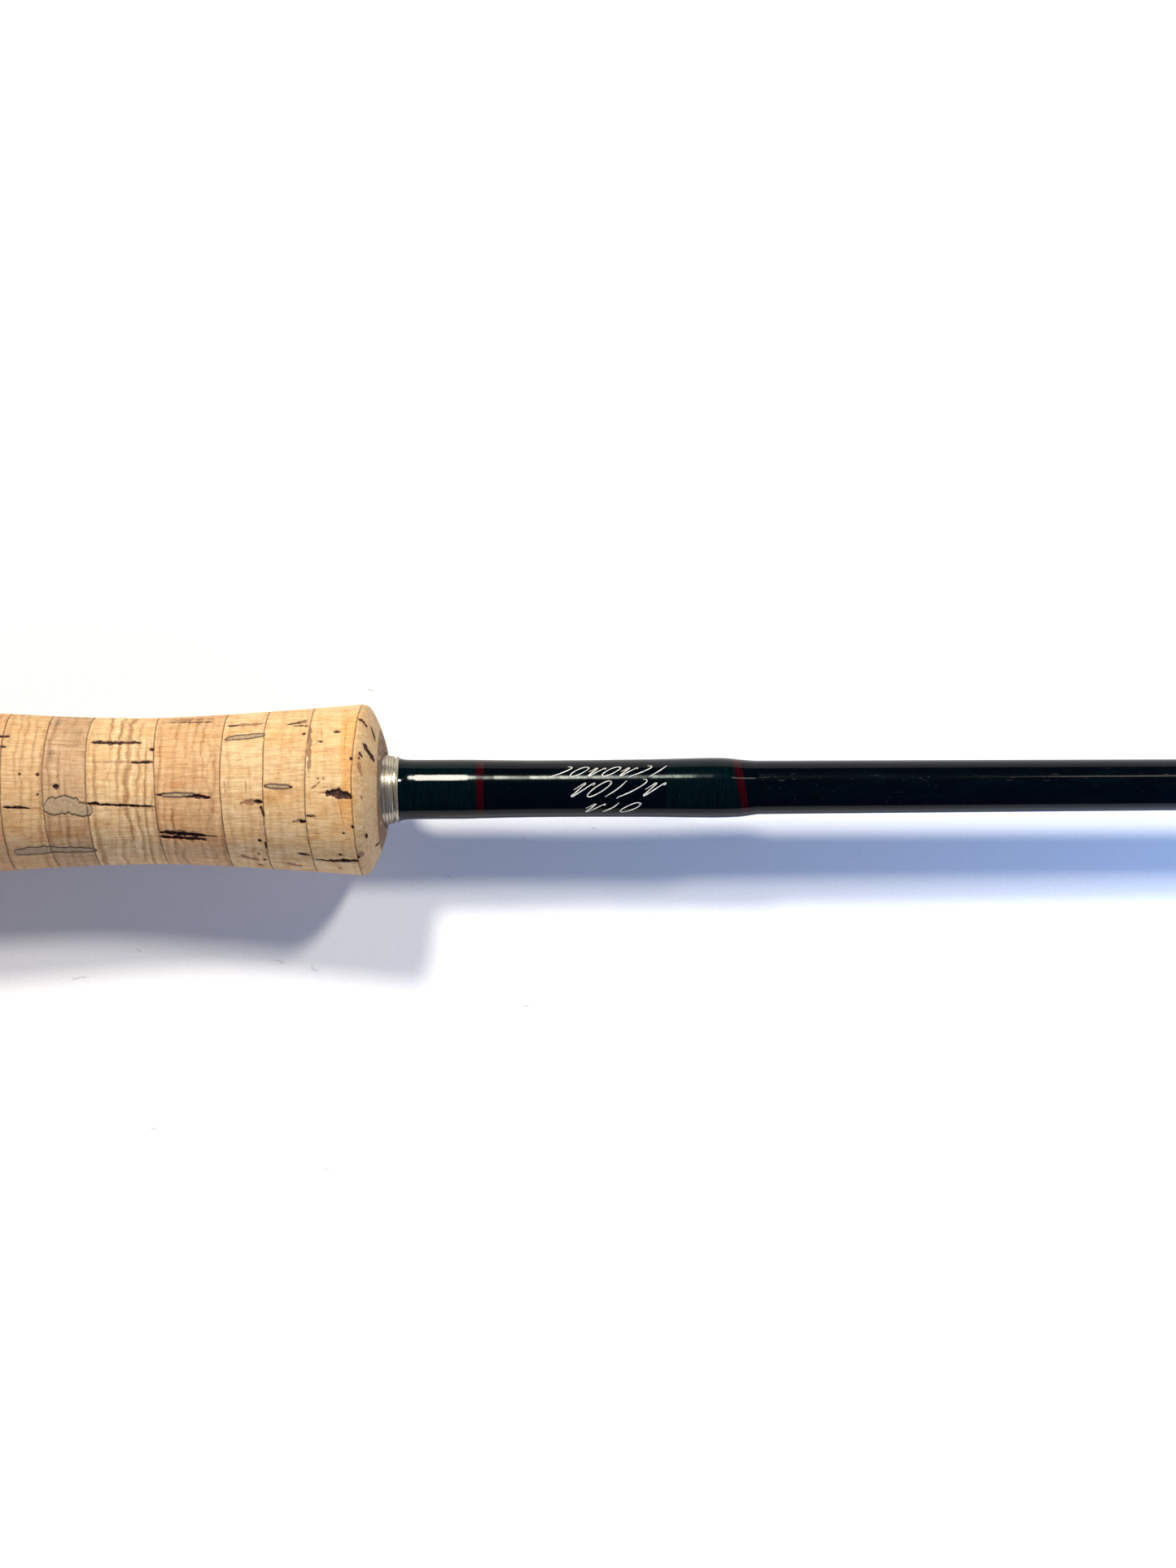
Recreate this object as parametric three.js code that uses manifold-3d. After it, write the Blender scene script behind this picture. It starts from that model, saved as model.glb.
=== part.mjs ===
// A nine-foot, two-piece fly rod for a five-weight line, lying along +X from butt to tip.
// +Y is the side that the reel seat's hoods and the line guides face, and +Z is up.
// The origin is the centre of the butt cap's flat end. All sizes are in millimetres.

import * as THREE from 'three';
import { mergeVertices } from 'three/addons/utils/BufferGeometryUtils.js';
import Module from 'manifold-3d';

const wasm = await Module();
wasm.setup();

// ---------------------------------------------------------------- driving dimensions

// Whole rod
const ROD_LENGTH = 2743.2; // nine feet, from the butt cap's end to the tip-top's end
const BUTT_SECTION_END = 1362; // where the lower blank ends at the ferrule
const GLUE_GAP = 0.12; // radial room for glue between a turned piece and what it fits over
const THREAD_ROOM = 0.03; // the same under a thread wrap
const CUT_GAP = 0.3; // room around a foot that a sleeve is cut for
const SIDES = 20; // sides of the seat's and the grip's turned pieces
const BLANK_SIDES = 12; // sides of the blank and of what is wound on it
const WIRE_SIDES = 5; // sides of a bent wire

// Blank: radius outside at each station, and the wall of the tube
const BLANK_BUTT_RADIUS = 4.95;
const BLANK_SIGNATURE_RADIUS = 4.13; // just past the signature coat
const BLANK_STIFF_RADIUS = 3.87; // where the steep butt taper ends
const BLANK_STIFF_RUN = 96; // length of blank from the coat to that station
const BLANK_FERRULE_RADIUS = 2.7;
const BLANK_TIP_RADIUS = 0.9;
const BUTT_WALL = 0.75;
const TIP_WALL = 0.35;

// Spigot ferrule
const SPIGOT_EXPOSED = 10; // gap that shows between the two blanks
const SPIGOT_GRIP = 36; // length that enters the upper blank
const SPIGOT_BURIED = 60; // length glued inside the lower blank
const FERRULE_WRAP_LENGTH = 15;
const FERRULE_SETBACK = 0.6; // from a blank's end to its wrap

// Reel seat
const CAP_LENGTH = 4.6;
const CAP_LIP = 0.8; // how far the cap stands out past the barrel
const CAP_CHAMFER = 1.2;
const CAP_PLUG_LENGTH = 4.6;
const BARREL_LENGTH = 41.5;
const BARREL_COLLAR_LENGTH = 8; // plain length ahead of the cap
const BARREL_RUNOUT = 1.6; // plain length at the spacer
const SPACER_RADIUS = 8.5; // also the thread's crest
const SPACER_LENGTH = 54;
const ARBOR_WALL = 0.65; // between the blank's butt and the seat's bore
const THREAD_PITCH = 2;
const THREAD_DEPTH = 0.6;
const THREAD_GAP = 0.3; // radial room in the nut's thread
const NUT_LENGTH = 9;
const NUT_WALL = 1.8; // outside the thread's crest
const NUT_FLUTES = 20;
const FLUTE_DEPTH = 0.45;
const NUT_CHAMFER = 0.8;
const NUT_BACK_ROOM = 3.4; // from the barrel's collar to the nut, fully open
const NUT_TO_HOOD = 0.3;
const ARBOR_LENGTH = 12;
const ARBOR_INSET = 6;

// Hoods that hold the reel's foot
const HOOD_LENGTH = 16.5;
const FRONT_HOOD_LENGTH = 13;
const HOOD_WALL = 1;
const HOOD_SLIDE_GAP = 0.2;
const HOOD_END_WALL = 2.2;
const POCKET_CENTRE_DROP = 4.5; // the arch's centre below the spacer's surface
const POCKET_INSET = 0.3; // how much narrower than the spacer the pocket is, on each side
const POCKET_HEIGHT = 5.7; // over the spacer's surface
const POCKET_TAPER = 0.95; // size of the closed end beside the mouth
const FLANGE_WIDTH = 2;
const FLANGE_LENGTH = 1.8;

// Seat flats: where the reel's foot rests, and the lower floor inside the front hood
const FOOT_FLAT_DEPTH = 1.5;
const TOE_FLOOR_DROP = 0.3;

// Cork grip, measured back from its front end
const DOME_RING = 3.75; // worn down from a thin ring, so that its back edge is the lip
const LIP_RING = 6.95;
const THIN_RING = 6.35;
const THICK_RING = 10.15;
const RING_ORDER = ['dome', 'lip', ...'tt TT tt T t TT t T t T t T t t T'.replaceAll(' ', '')];
const LIP_RADIUS = 13.12;
const WAIST_SETBACK = 35;
const WAIST_RADIUS = 11.2;
const FLARE_POWER = 1.38; // how sharply the grip flares from its waist to its lip
const SWELL_SETBACK = 88;
const SWELL_RADIUS = 13.4;
const HEEL_STEP = 0.2; // how far the grip's heel stands out past the hood's flange
const DOME_POWER = 2.2; // roundness of the front dome
const DOME_STEPS = 7;

// Winding check at the grip's front
const CHECK_FLANGE_WALL = 1.04;
const CHECK_FLANGE_LENGTH = 2;
const CHECK_GROOVE_WALL = 0.49;
const CHECK_GROOVE_LENGTH = 0.25;
const CHECK_RING_WALL = 0.56;
const CHECK_RING_LENGTH = 0.5;

// Wraps and coat ahead of the check
const CHECK_WRAP_LENGTH = 11.85;
const TRIM_BAND_LENGTH = 1.15;
const SIGNATURE_LENGTH = 27.7;
const UPPER_WRAP_LENGTH = 11;
const THREAD_BUILD = 0.28; // thickness of a thread wrap with its coat
const COAT_BUILD = 0.16; // thickness of the clear coat alone
const COAT_RUNOUT = 1.6;

// Line guides, on the +Y side
const TIP_GUIDES = 8; // snake guides on the upper section
const GUIDE_GROWTH = 1.11; // each space between guides beside the one nearer the tip
const LAST_GUIDE_TO_FERRULE = 90;
const SNAKE_BELOW_FERRULE = 158;
const STRIPPER_BELOW_SNAKE = 276;
const SNAKE_WIRE = 0.45; // radius
const SNAKE_STEPS = 18;
const SNAKE_HALF_LENGTH = 13;
const SNAKE_FOOT = 6.5;
const SNAKE_HALF_WIDTH = 2.2;
const SNAKE_HEIGHT = 4.2;
const WRAP_PAST_FOOT = 1.5;
const GUIDE_WRAP_BUILD = 0.45;
const SMALLEST_SNAKE = 0.78; // size of the guide nearest the tip beside the largest

// Stripping guide
const STRIPPER_BORE_RADIUS = 4.8;
const CERAMIC_THICKNESS = 1.1;
const CERAMIC_LENGTH = 2.2;
const HOOP_THICKNESS = 0.75;
const HOOP_LENGTH = 1.6;
const STRIPPER_HEIGHT = 11; // ring centre over the blank's surface
const LEG_WIRE = 0.6;
const LEG_SPREAD = 5.2;
const LEG_ONTO_FOOT = 1.5; // how far a leg runs onto its foot
const LEG_KNEE = 0.55; // where a leg bends, as a share of the way out to its foot
const LEG_KNEE_HEIGHT = 0.42; // the same, up towards the hoop
const LEG_STEPS = 8;
const WRAP_OFF_LEG = 2.6; // from the start of a foot to its wrap
const STRIPPER_FOOT_REACH = 11; // from the ring's plane to the start of a foot
const STRIPPER_FOOT_LENGTH = 12;
const STRIPPER_FOOT_HALF_WIDTH = 1.3;
const STRIPPER_FOOT_THICKNESS = 0.8;

// Tip-top
const TIP_TUBE_LENGTH = 9;
const TIP_TUBE_WALL = 0.3;
const TIP_LOOP_RADIUS = 2.25; // of the wire's centre line
const TIP_WRAP_LENGTH = 4;
const TIP_END_ROOM = 1; // from the blank's end to the loop's wire

// ---------------------------------------------------------------- places worked out from them

const SPACER_START = CAP_LENGTH + BARREL_LENGTH;
const GRIP_START = SPACER_START + SPACER_LENGTH;
const RING_THICKNESS = { dome: DOME_RING, lip: LIP_RING, t: THIN_RING, T: THICK_RING };
const gripLength = RING_ORDER.reduce((sum, kind) => sum + RING_THICKNESS[kind], 0);
const GRIP_FRONT = GRIP_START + gripLength;
const checkLength = CHECK_FLANGE_LENGTH + CHECK_GROOVE_LENGTH + CHECK_RING_LENGTH;
const CHECK_FRONT = GRIP_FRONT + checkLength;
const LOWER_BAND_START = CHECK_FRONT + CHECK_WRAP_LENGTH;
const SIGNATURE_START = LOWER_BAND_START + TRIM_BAND_LENGTH;
const UPPER_WRAP_START = SIGNATURE_START + SIGNATURE_LENGTH;
const UPPER_BAND_START = UPPER_WRAP_START + UPPER_WRAP_LENGTH;
const COAT_END = UPPER_BAND_START + TRIM_BAND_LENGTH + COAT_RUNOUT;
const TIP_SECTION_START = BUTT_SECTION_END + SPIGOT_EXPOSED;
const BLANK_START = CAP_LENGTH + CAP_PLUG_LENGTH + CUT_GAP;
const BLANK_END = ROD_LENGTH - SNAKE_WIRE * 2 - TIP_END_ROOM;

const BLANK_STATIONS = [
  { x: 0, radius: BLANK_BUTT_RADIUS, wall: BUTT_WALL },
  { x: COAT_END, radius: BLANK_SIGNATURE_RADIUS, wall: BUTT_WALL },
  { x: COAT_END + BLANK_STIFF_RUN, radius: BLANK_STIFF_RADIUS, wall: BUTT_WALL },
  { x: BUTT_SECTION_END, radius: BLANK_FERRULE_RADIUS, wall: BUTT_WALL },
  { x: ROD_LENGTH, radius: BLANK_TIP_RADIUS, wall: TIP_WALL },
];

const SEAT_BORE_RADIUS = BLANK_BUTT_RADIUS + ARBOR_WALL;
const CAP_RADIUS = SPACER_RADIUS + CAP_LIP;
const NUT_RADIUS = SPACER_RADIUS + NUT_WALL;
const FLANGE_RADIUS = SPACER_RADIUS + FLANGE_WIDTH;
const HEEL_RADIUS = FLANGE_RADIUS + HEEL_STEP;
const FOOT_FLAT_HEIGHT = SPACER_RADIUS - FOOT_FLAT_DEPTH;
const POCKET_CENTRE = SPACER_RADIUS - POCKET_CENTRE_DROP;
const POCKET_HALF_WIDTH = SPACER_RADIUS - POCKET_INSET;
const POCKET_HALF_HEIGHT = POCKET_CENTRE_DROP + POCKET_HEIGHT;

// ---------------------------------------------------------------- materials

function finish(color, roughness, metalness) {
  return new THREE.MeshStandardMaterial({ color, roughness, metalness });
}

const nickelSilver = finish(0xb9b4a6, 0.3, 1);
const anodised = finish(0x8d9094, 0.35, 1);
const rosewood = finish(0x5a2f1a, 0.45, 0);
const cork = finish(0xc09a62, 0.9, 0);
const graphite = finish(0x0a1f1c, 0.15, 0);
const greenThread = finish(0x08211c, 0.2, 0);
const redThread = finish(0x4a0d12, 0.25, 0);
const clearCoat = finish(0x0c2622, 0.08, 0);
const guideSteel = finish(0x9a9ca0, 0.25, 1);
const ceramicBlack = finish(0x1b1c1e, 0.2, 0);
const paperTape = finish(0xc9b98e, 0.85, 0);

// ---------------------------------------------------------------- ways of making shapes

function lerp(a, b, t) {
  return a + (b - a) * t;
}

// Value of a named quantity of the blank at x, straight between its stations.
function blankAt(x, quantity) {
  const last = BLANK_STATIONS.length - 2;
  const found = BLANK_STATIONS.findIndex((station, i) => i > 0 && x <= station.x) - 1;
  const i = found < 0 ? last : found;
  const from = BLANK_STATIONS[i];
  const to = BLANK_STATIONS[i + 1];
  return lerp(from[quantity], to[quantity], (x - from.x) / (to.x - from.x));
}

function blankRadius(x) {
  return blankAt(x, 'radius');
}

function blankBore(x) {
  return blankAt(x, 'radius') - blankAt(x, 'wall');
}

const checkBore = (x) => blankRadius(x) + GLUE_GAP;
const CHECK_FLANGE_RADIUS = checkBore(GRIP_FRONT) + CHECK_FLANGE_WALL;
const CHECK_GROOVE_RADIUS = checkBore(GRIP_FRONT) + CHECK_GROOVE_WALL;
const CHECK_RING_RADIUS = checkBore(GRIP_FRONT) + CHECK_RING_WALL;

// A closed profile of [x, radius] corners turned about the rod's axis. The corners run towards
// the tip along the inside and back along the outside.
function turned(profile, sides = SIDES) {
  const corners = [...profile, profile[0]].map(([x, radius]) => new THREE.Vector2(radius, x));
  corners.reverse();
  const geometry = new THREE.LatheGeometry(corners, sides);
  geometry.rotateZ(-Math.PI / 2);
  return geometry;
}

// A tube from one x to another, its radii given by two functions of x.
function sleeve(start, end, inside, outside, sides = SIDES) {
  return turned([
    [start, inside(start)],
    [end, inside(end)],
    [end, outside(end)],
    [start, outside(start)],
  ], sides);
}

// A thread wrap, band or coat of a given build over the blank.
function wrapOver(start, end, build) {
  const inside = (x) => blankRadius(x) + THREAD_ROOM;
  const outside = (x) => blankRadius(x) + build;
  return sleeve(start, end, inside, outside, BLANK_SIDES);
}

function bar(start, end, radius) {
  const geometry = new THREE.CylinderGeometry(radius, radius, end - start, SIDES);
  geometry.rotateZ(-Math.PI / 2);
  geometry.translate((start + end) / 2, 0, 0);
  return geometry;
}

// A round wire along a smooth curve through the given points.
function wire(points, radius, steps) {
  const path = new THREE.CatmullRomCurve3(points.map((p) => new THREE.Vector3(...p)));
  const section = new THREE.Shape();
  for (let i = 0; i < WIRE_SIDES; i += 1) {
    const angle = (2 * Math.PI * i) / WIRE_SIDES;
    section[i === 0 ? 'moveTo' : 'lineTo'](radius * Math.cos(angle), radius * Math.sin(angle));
  }
  section.closePath();
  return new THREE.ExtrudeGeometry(section, { steps, bevelEnabled: false, extrudePath: path });
}

// Solids for joining and cutting
function solid(geometry) {
  const bare = geometry.clone();
  bare.deleteAttribute('normal');
  bare.deleteAttribute('uv');
  const merged = mergeVertices(bare, 1e-4);
  const vertProperties = new Float32Array(merged.attributes.position.array);
  const triVerts = new Uint32Array(merged.index.array);
  return new wasm.Manifold(new wasm.Mesh({ numProp: 3, vertProperties, triVerts }));
}

function geometryOf(manifold) {
  const mesh = manifold.getMesh();
  const geometry = new THREE.BufferGeometry();
  geometry.setAttribute('position', new THREE.BufferAttribute(mesh.vertProperties, 3));
  geometry.setIndex(new THREE.BufferAttribute(mesh.triVerts, 1));
  geometry.computeVertexNormals();
  return geometry;
}

function joined(...geometries) {
  return geometries.map(solid).reduce((whole, piece) => whole.add(piece));
}

// A right-handed threaded rod. Each turn repeats the same few profile corners, and corner K of
// one turn is corner 0 of the next. Both ragged ends are closed onto the axis, to be trimmed.
function threadedRod(start, end, rootRadius) {
  const crest = rootRadius + THREAD_DEPTH;
  const corners = [{ along: 0, radius: rootRadius }, { along: 0.5, radius: crest }];
  const turns = Math.ceil((end - start) / THREAD_PITCH) + 2;
  const first = start - 2 * THREAD_PITCH;
  const steps = turns * SIDES;
  const positions = [];
  const indexOf = new Map();
  for (let i = 0; i <= steps + SIDES; i += 1) {
    const angle = (2 * Math.PI * i) / SIDES;
    corners.forEach(({ along, radius }, k) => {
      if (k > 0 && i > steps) return;
      indexOf.set(`${i},${k}`, positions.length / 3);
      const x = first + THREAD_PITCH * (i / SIDES + along);
      positions.push(x, radius * Math.cos(angle), radius * Math.sin(angle));
    });
  }
  const at = (i, k) => (k === corners.length ? indexOf.get(`${i + SIDES},0`) : indexOf.get(`${i},${k}`));
  const triangles = [];
  for (let i = 0; i < steps; i += 1) {
    for (let k = 0; k < corners.length; k += 1) {
      triangles.push(at(i, k), at(i + 1, k), at(i + 1, k + 1));
      triangles.push(at(i, k), at(i + 1, k + 1), at(i, k + 1));
    }
  }
  const closeEnd = (turnStart, x, outward) => {
    const loop = [];
    for (let i = 0; i < SIDES; i += 1) loop.push(at(turnStart + i, 0));
    for (let k = corners.length; k > 0; k -= 1) loop.push(at(turnStart, k));
    const hub = positions.length / 3;
    positions.push(x, 0, 0);
    loop.forEach((corner, i) => {
      const next = loop[(i + 1) % loop.length];
      triangles.push(...(outward ? [hub, corner, next] : [hub, next, corner]));
    });
  };
  closeEnd(0, first - THREAD_PITCH, false);
  closeEnd(steps, first + THREAD_PITCH * (turns + 2), true);
  const geometry = new THREE.BufferGeometry();
  geometry.setAttribute('position', new THREE.Float32BufferAttribute(positions, 3));
  geometry.setIndex(triangles);
  return geometry;
}

// ---------------------------------------------------------------- the rod, put together

const flyRod = new THREE.Group();

function add(name, geometry, material) {
  const mesh = new THREE.Mesh(geometry, material);
  mesh.name = name;
  flyRod.add(mesh);
}

// Butt cap: a turned disc with a plug that glues into the barrel's bore. Its end face is flat.
const plugRadius = SEAT_BORE_RADIUS - GLUE_GAP;
add('butt_cap', turned([
  [0, 0],
  [CAP_LENGTH + CAP_PLUG_LENGTH, 0],
  [CAP_LENGTH + CAP_PLUG_LENGTH, plugRadius],
  [CAP_LENGTH, plugRadius],
  [CAP_LENGTH, CAP_RADIUS],
  [CAP_CHAMFER, CAP_RADIUS],
  [0, CAP_RADIUS - CAP_CHAMFER],
]), nickelSilver);

// Threaded barrel: a tube with a real helical thread between its collar and its runout.
const threadStart = CAP_LENGTH + BARREL_COLLAR_LENGTH;
const threadEnd = SPACER_START - BARREL_RUNOUT;
const threadRoot = SPACER_RADIUS - THREAD_DEPTH;
const barrelEnds = joined(
  bar(CAP_LENGTH, threadStart, SPACER_RADIUS),
  bar(threadStart, SPACER_START, threadRoot),
);
const barrelThread = solid(threadedRod(threadStart, threadEnd, threadRoot))
  .intersect(solid(bar(threadStart, threadEnd, CAP_RADIUS)));
const seatBore = solid(bar(-CAP_LENGTH, GRIP_START + CAP_LENGTH, SEAT_BORE_RADIUS));
add('threaded_barrel', geometryOf(barrelEnds.add(barrelThread).subtract(seatBore)), anodised);

// Locking nut: a fluted ring with the same thread inside, a little larger.
const nutStart = threadStart + NUT_BACK_ROOM;
const nutEnd = nutStart + NUT_LENGTH;
const fluted = new THREE.Shape();
for (let i = 0; i < NUT_FLUTES * 2; i += 1) {
  const angle = (Math.PI * i) / NUT_FLUTES;
  const radius = i % 2 ? NUT_RADIUS - FLUTE_DEPTH : NUT_RADIUS;
  fluted[i === 0 ? 'moveTo' : 'lineTo'](radius * Math.cos(angle), radius * Math.sin(angle));
}
fluted.closePath();
const flutedBar = new THREE.ExtrudeGeometry(fluted, { depth: NUT_LENGTH, bevelEnabled: false });
flutedBar.rotateY(Math.PI / 2);
flutedBar.translate(nutStart, 0, 0);
const chamferedBar = turned([
  [nutStart, 0],
  [nutEnd, 0],
  [nutEnd, NUT_RADIUS - NUT_CHAMFER],
  [nutEnd - NUT_CHAMFER, NUT_RADIUS + FLUTE_DEPTH],
  [nutStart + NUT_CHAMFER, NUT_RADIUS + FLUTE_DEPTH],
  [nutStart, NUT_RADIUS - NUT_CHAMFER],
]);
const nutThread = threadedRod(threadStart, threadEnd, threadRoot + THREAD_GAP);
add('locking_nut', geometryOf(
  solid(flutedBar).intersect(solid(chamferedBar)).subtract(solid(nutThread)),
), nickelSilver);

// A hood: a ring with an arched pocket on the +Y side, open towards its mouth.
function archBar(start, end, mouth, halfWidth, halfHeight) {
  const ends = mouth > 0 ? [1, POCKET_TAPER] : [POCKET_TAPER, 1];
  const geometry = new THREE.CylinderGeometry(ends[0], ends[1], end - start, SIDES);
  geometry.rotateZ(-Math.PI / 2);
  geometry.scale(1, halfHeight, halfWidth);
  geometry.translate((start + end) / 2, POCKET_CENTRE, 0);
  return geometry;
}

function hood(start, end, mouth, boreRadius) {
  const outer = joined(
    bar(start, end, boreRadius + HOOD_WALL),
    archBar(start, end, mouth, POCKET_HALF_WIDTH + HOOD_WALL, POCKET_HALF_HEIGHT + HOOD_WALL),
  );
  const pocketStart = mouth > 0 ? start + HOOD_END_WALL : start - HOOD_WALL;
  const pocketEnd = mouth > 0 ? end + HOOD_WALL : end - HOOD_END_WALL;
  const pocket = archBar(pocketStart, pocketEnd, mouth, POCKET_HALF_WIDTH, POCKET_HALF_HEIGHT);
  const bore = bar(start - HOOD_WALL, end + HOOD_WALL, boreRadius);
  return outer.subtract(solid(pocket)).subtract(solid(bore));
}

// Sliding hood: rides ahead of the nut and comes forward over the reel foot's heel.
const hoodStart = nutEnd + NUT_TO_HOOD;
add('sliding_hood', geometryOf(
  hood(hoodStart, hoodStart + HOOD_LENGTH, 1, SPACER_RADIUS + HOOD_SLIDE_GAP),
), nickelSilver);

// Wood spacer: a bored cylinder with a long flat for the reel's foot, deeper inside the hood.
const frontHoodStart = GRIP_START - FRONT_HOOD_LENGTH;
function above(start, end, height) {
  const depth = SPACER_RADIUS * 2;
  const geometry = new THREE.BoxGeometry(end - start, depth, depth * 2);
  geometry.translate((start + end) / 2, height + depth / 2, 0);
  return solid(geometry);
}
const footFlat = above(SPACER_START - 1, frontHoodStart - HOOD_WALL, FOOT_FLAT_HEIGHT);
const toeFloor = above(frontHoodStart - HOOD_WALL, GRIP_START + 1, FOOT_FLAT_HEIGHT - TOE_FLOOR_DROP);
const spacerBar = solid(bar(SPACER_START, GRIP_START, SPACER_RADIUS));
add('wood_spacer', geometryOf(
  spacerBar.subtract(seatBore).subtract(footFlat).subtract(toeFloor),
), rosewood);

// Front hood: fixed at the grip, its mouth facing the sliding hood.
const frontHood = hood(frontHoodStart, GRIP_START, -1, SPACER_RADIUS + GLUE_GAP);
const flange = sleeve(
  GRIP_START - FLANGE_LENGTH,
  GRIP_START,
  () => SPACER_RADIUS + GLUE_GAP,
  () => FLANGE_RADIUS,
);
add('front_hood', geometryOf(frontHood.add(solid(flange))), nickelSilver);

// Arbors: rings of paper tape that centre the blank in the seat.
const arborStarts = {
  rear_arbor: BLANK_START + ARBOR_INSET,
  front_arbor: GRIP_START - ARBOR_INSET - ARBOR_LENGTH,
};
for (const [name, start] of Object.entries(arborStarts)) {
  const outside = () => SEAT_BORE_RADIUS - GLUE_GAP;
  add(name, sleeve(start, start + ARBOR_LENGTH, (x) => blankRadius(x) + GLUE_GAP, outside), paperTape);
}

// Cork grip: the radius at a distance behind its front end.
function gripRadius(setback) {
  if (setback < DOME_RING) {
    const out = 1 - setback / DOME_RING;
    const arc = (1 - out ** DOME_POWER) ** (1 / DOME_POWER);
    return lerp(CHECK_FLANGE_RADIUS, LIP_RADIUS, arc);
  }
  if (setback < WAIST_SETBACK) {
    const towardsLip = (WAIST_SETBACK - setback) / (WAIST_SETBACK - DOME_RING);
    return lerp(WAIST_RADIUS, LIP_RADIUS, towardsLip ** FLARE_POWER);
  }
  const ease = (t) => (1 - Math.cos(Math.PI * t)) / 2;
  if (setback < SWELL_SETBACK) {
    const t = (setback - WAIST_SETBACK) / (SWELL_SETBACK - WAIST_SETBACK);
    return lerp(WAIST_RADIUS, SWELL_RADIUS, ease(t));
  }
  return lerp(SWELL_RADIUS, HEEL_RADIUS, ease((setback - SWELL_SETBACK) / (gripLength - SWELL_SETBACK)));
}

let ringFront = GRIP_FRONT;
RING_ORDER.forEach((kind, number) => {
  const ringBack = ringFront - RING_THICKNESS[kind];
  const stations = [ringFront];
  if (kind === 'dome') {
    for (let i = 1; i < DOME_STEPS; i += 1) {
      stations.push(GRIP_FRONT - DOME_RING * (i / DOME_STEPS) ** 2);
    }
  }
  if (kind === 'T') stations.push((ringFront + ringBack) / 2);
  stations.push(ringBack);
  const outer = stations.map((x) => [x, gripRadius(GRIP_FRONT - x)]);
  const inner = [ringBack, ringFront].map((x) => [x, blankRadius(x) + GLUE_GAP]);
  add(`cork_ring_${String(number + 1).padStart(2, '0')}`, turned([...inner, ...outer]), cork);
  ringFront = ringBack;
});

// Winding check: a turned collar with a flange, a fine groove and a front ring.
const grooveStart = GRIP_FRONT + CHECK_FLANGE_LENGTH;
const grooveEnd = grooveStart + CHECK_GROOVE_LENGTH;
add('winding_check', turned([
  [GRIP_FRONT, checkBore(GRIP_FRONT)],
  [CHECK_FRONT, checkBore(CHECK_FRONT)],
  [CHECK_FRONT, CHECK_RING_RADIUS],
  [grooveEnd, CHECK_RING_RADIUS],
  [grooveEnd, CHECK_GROOVE_RADIUS],
  [grooveStart, CHECK_GROOVE_RADIUS],
  [grooveStart, CHECK_FLANGE_RADIUS],
  [GRIP_FRONT, CHECK_FLANGE_RADIUS],
]), nickelSilver);

// Thread wraps, trim bands and the clear coat over the signature, end to end.
add('check_wrap', wrapOver(CHECK_FRONT, LOWER_BAND_START, THREAD_BUILD), greenThread);
add('lower_trim_band', wrapOver(LOWER_BAND_START, SIGNATURE_START, THREAD_BUILD), redThread);
add('signature_coat', wrapOver(SIGNATURE_START, UPPER_WRAP_START, COAT_BUILD), clearCoat);
add('upper_wrap', wrapOver(UPPER_WRAP_START, UPPER_BAND_START, THREAD_BUILD), greenThread);
const upperBandEnd = UPPER_BAND_START + TRIM_BAND_LENGTH;
add('upper_trim_band', wrapOver(UPPER_BAND_START, upperBandEnd, THREAD_BUILD), redThread);

// Blanks: tapered graphite tubes, and the spigot that joins them.
function blankTube(start, end) {
  const between = BLANK_STATIONS.map((station) => station.x).filter((x) => x > start && x < end);
  const stations = [start, ...between, end];
  const inner = stations.map((x) => [x, blankBore(x)]);
  const outer = stations.map((x) => [x, blankRadius(x)]).reverse();
  return turned([...inner, ...outer], BLANK_SIDES);
}
add('butt_blank', blankTube(BLANK_START, BUTT_SECTION_END), graphite);
add('tip_blank', blankTube(TIP_SECTION_START, BLANK_END), graphite);
const spigotStart = BUTT_SECTION_END - SPIGOT_BURIED;
const spigotEnd = TIP_SECTION_START + SPIGOT_GRIP;
const spigotTop = blankBore(spigotEnd) - GLUE_GAP;
add('ferrule_spigot', turned([
  [spigotStart, 0],
  [spigotEnd, 0],
  [spigotEnd, spigotTop],
  [BUTT_SECTION_END, blankBore(BUTT_SECTION_END) - GLUE_GAP],
  [spigotStart, blankBore(BUTT_SECTION_END) - GLUE_GAP],
], BLANK_SIDES), graphite);
const buttFerruleWrap = BUTT_SECTION_END - FERRULE_SETBACK;
const tipFerruleWrap = TIP_SECTION_START + FERRULE_SETBACK;
const ferruleWraps = {
  butt_ferrule_wrap: [buttFerruleWrap - FERRULE_WRAP_LENGTH, buttFerruleWrap],
  tip_ferrule_wrap: [tipFerruleWrap, tipFerruleWrap + FERRULE_WRAP_LENGTH],
};
for (const [name, [start, end]] of Object.entries(ferruleWraps)) {
  add(name, wrapOver(start, end, THREAD_BUILD), greenThread);
}

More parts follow.
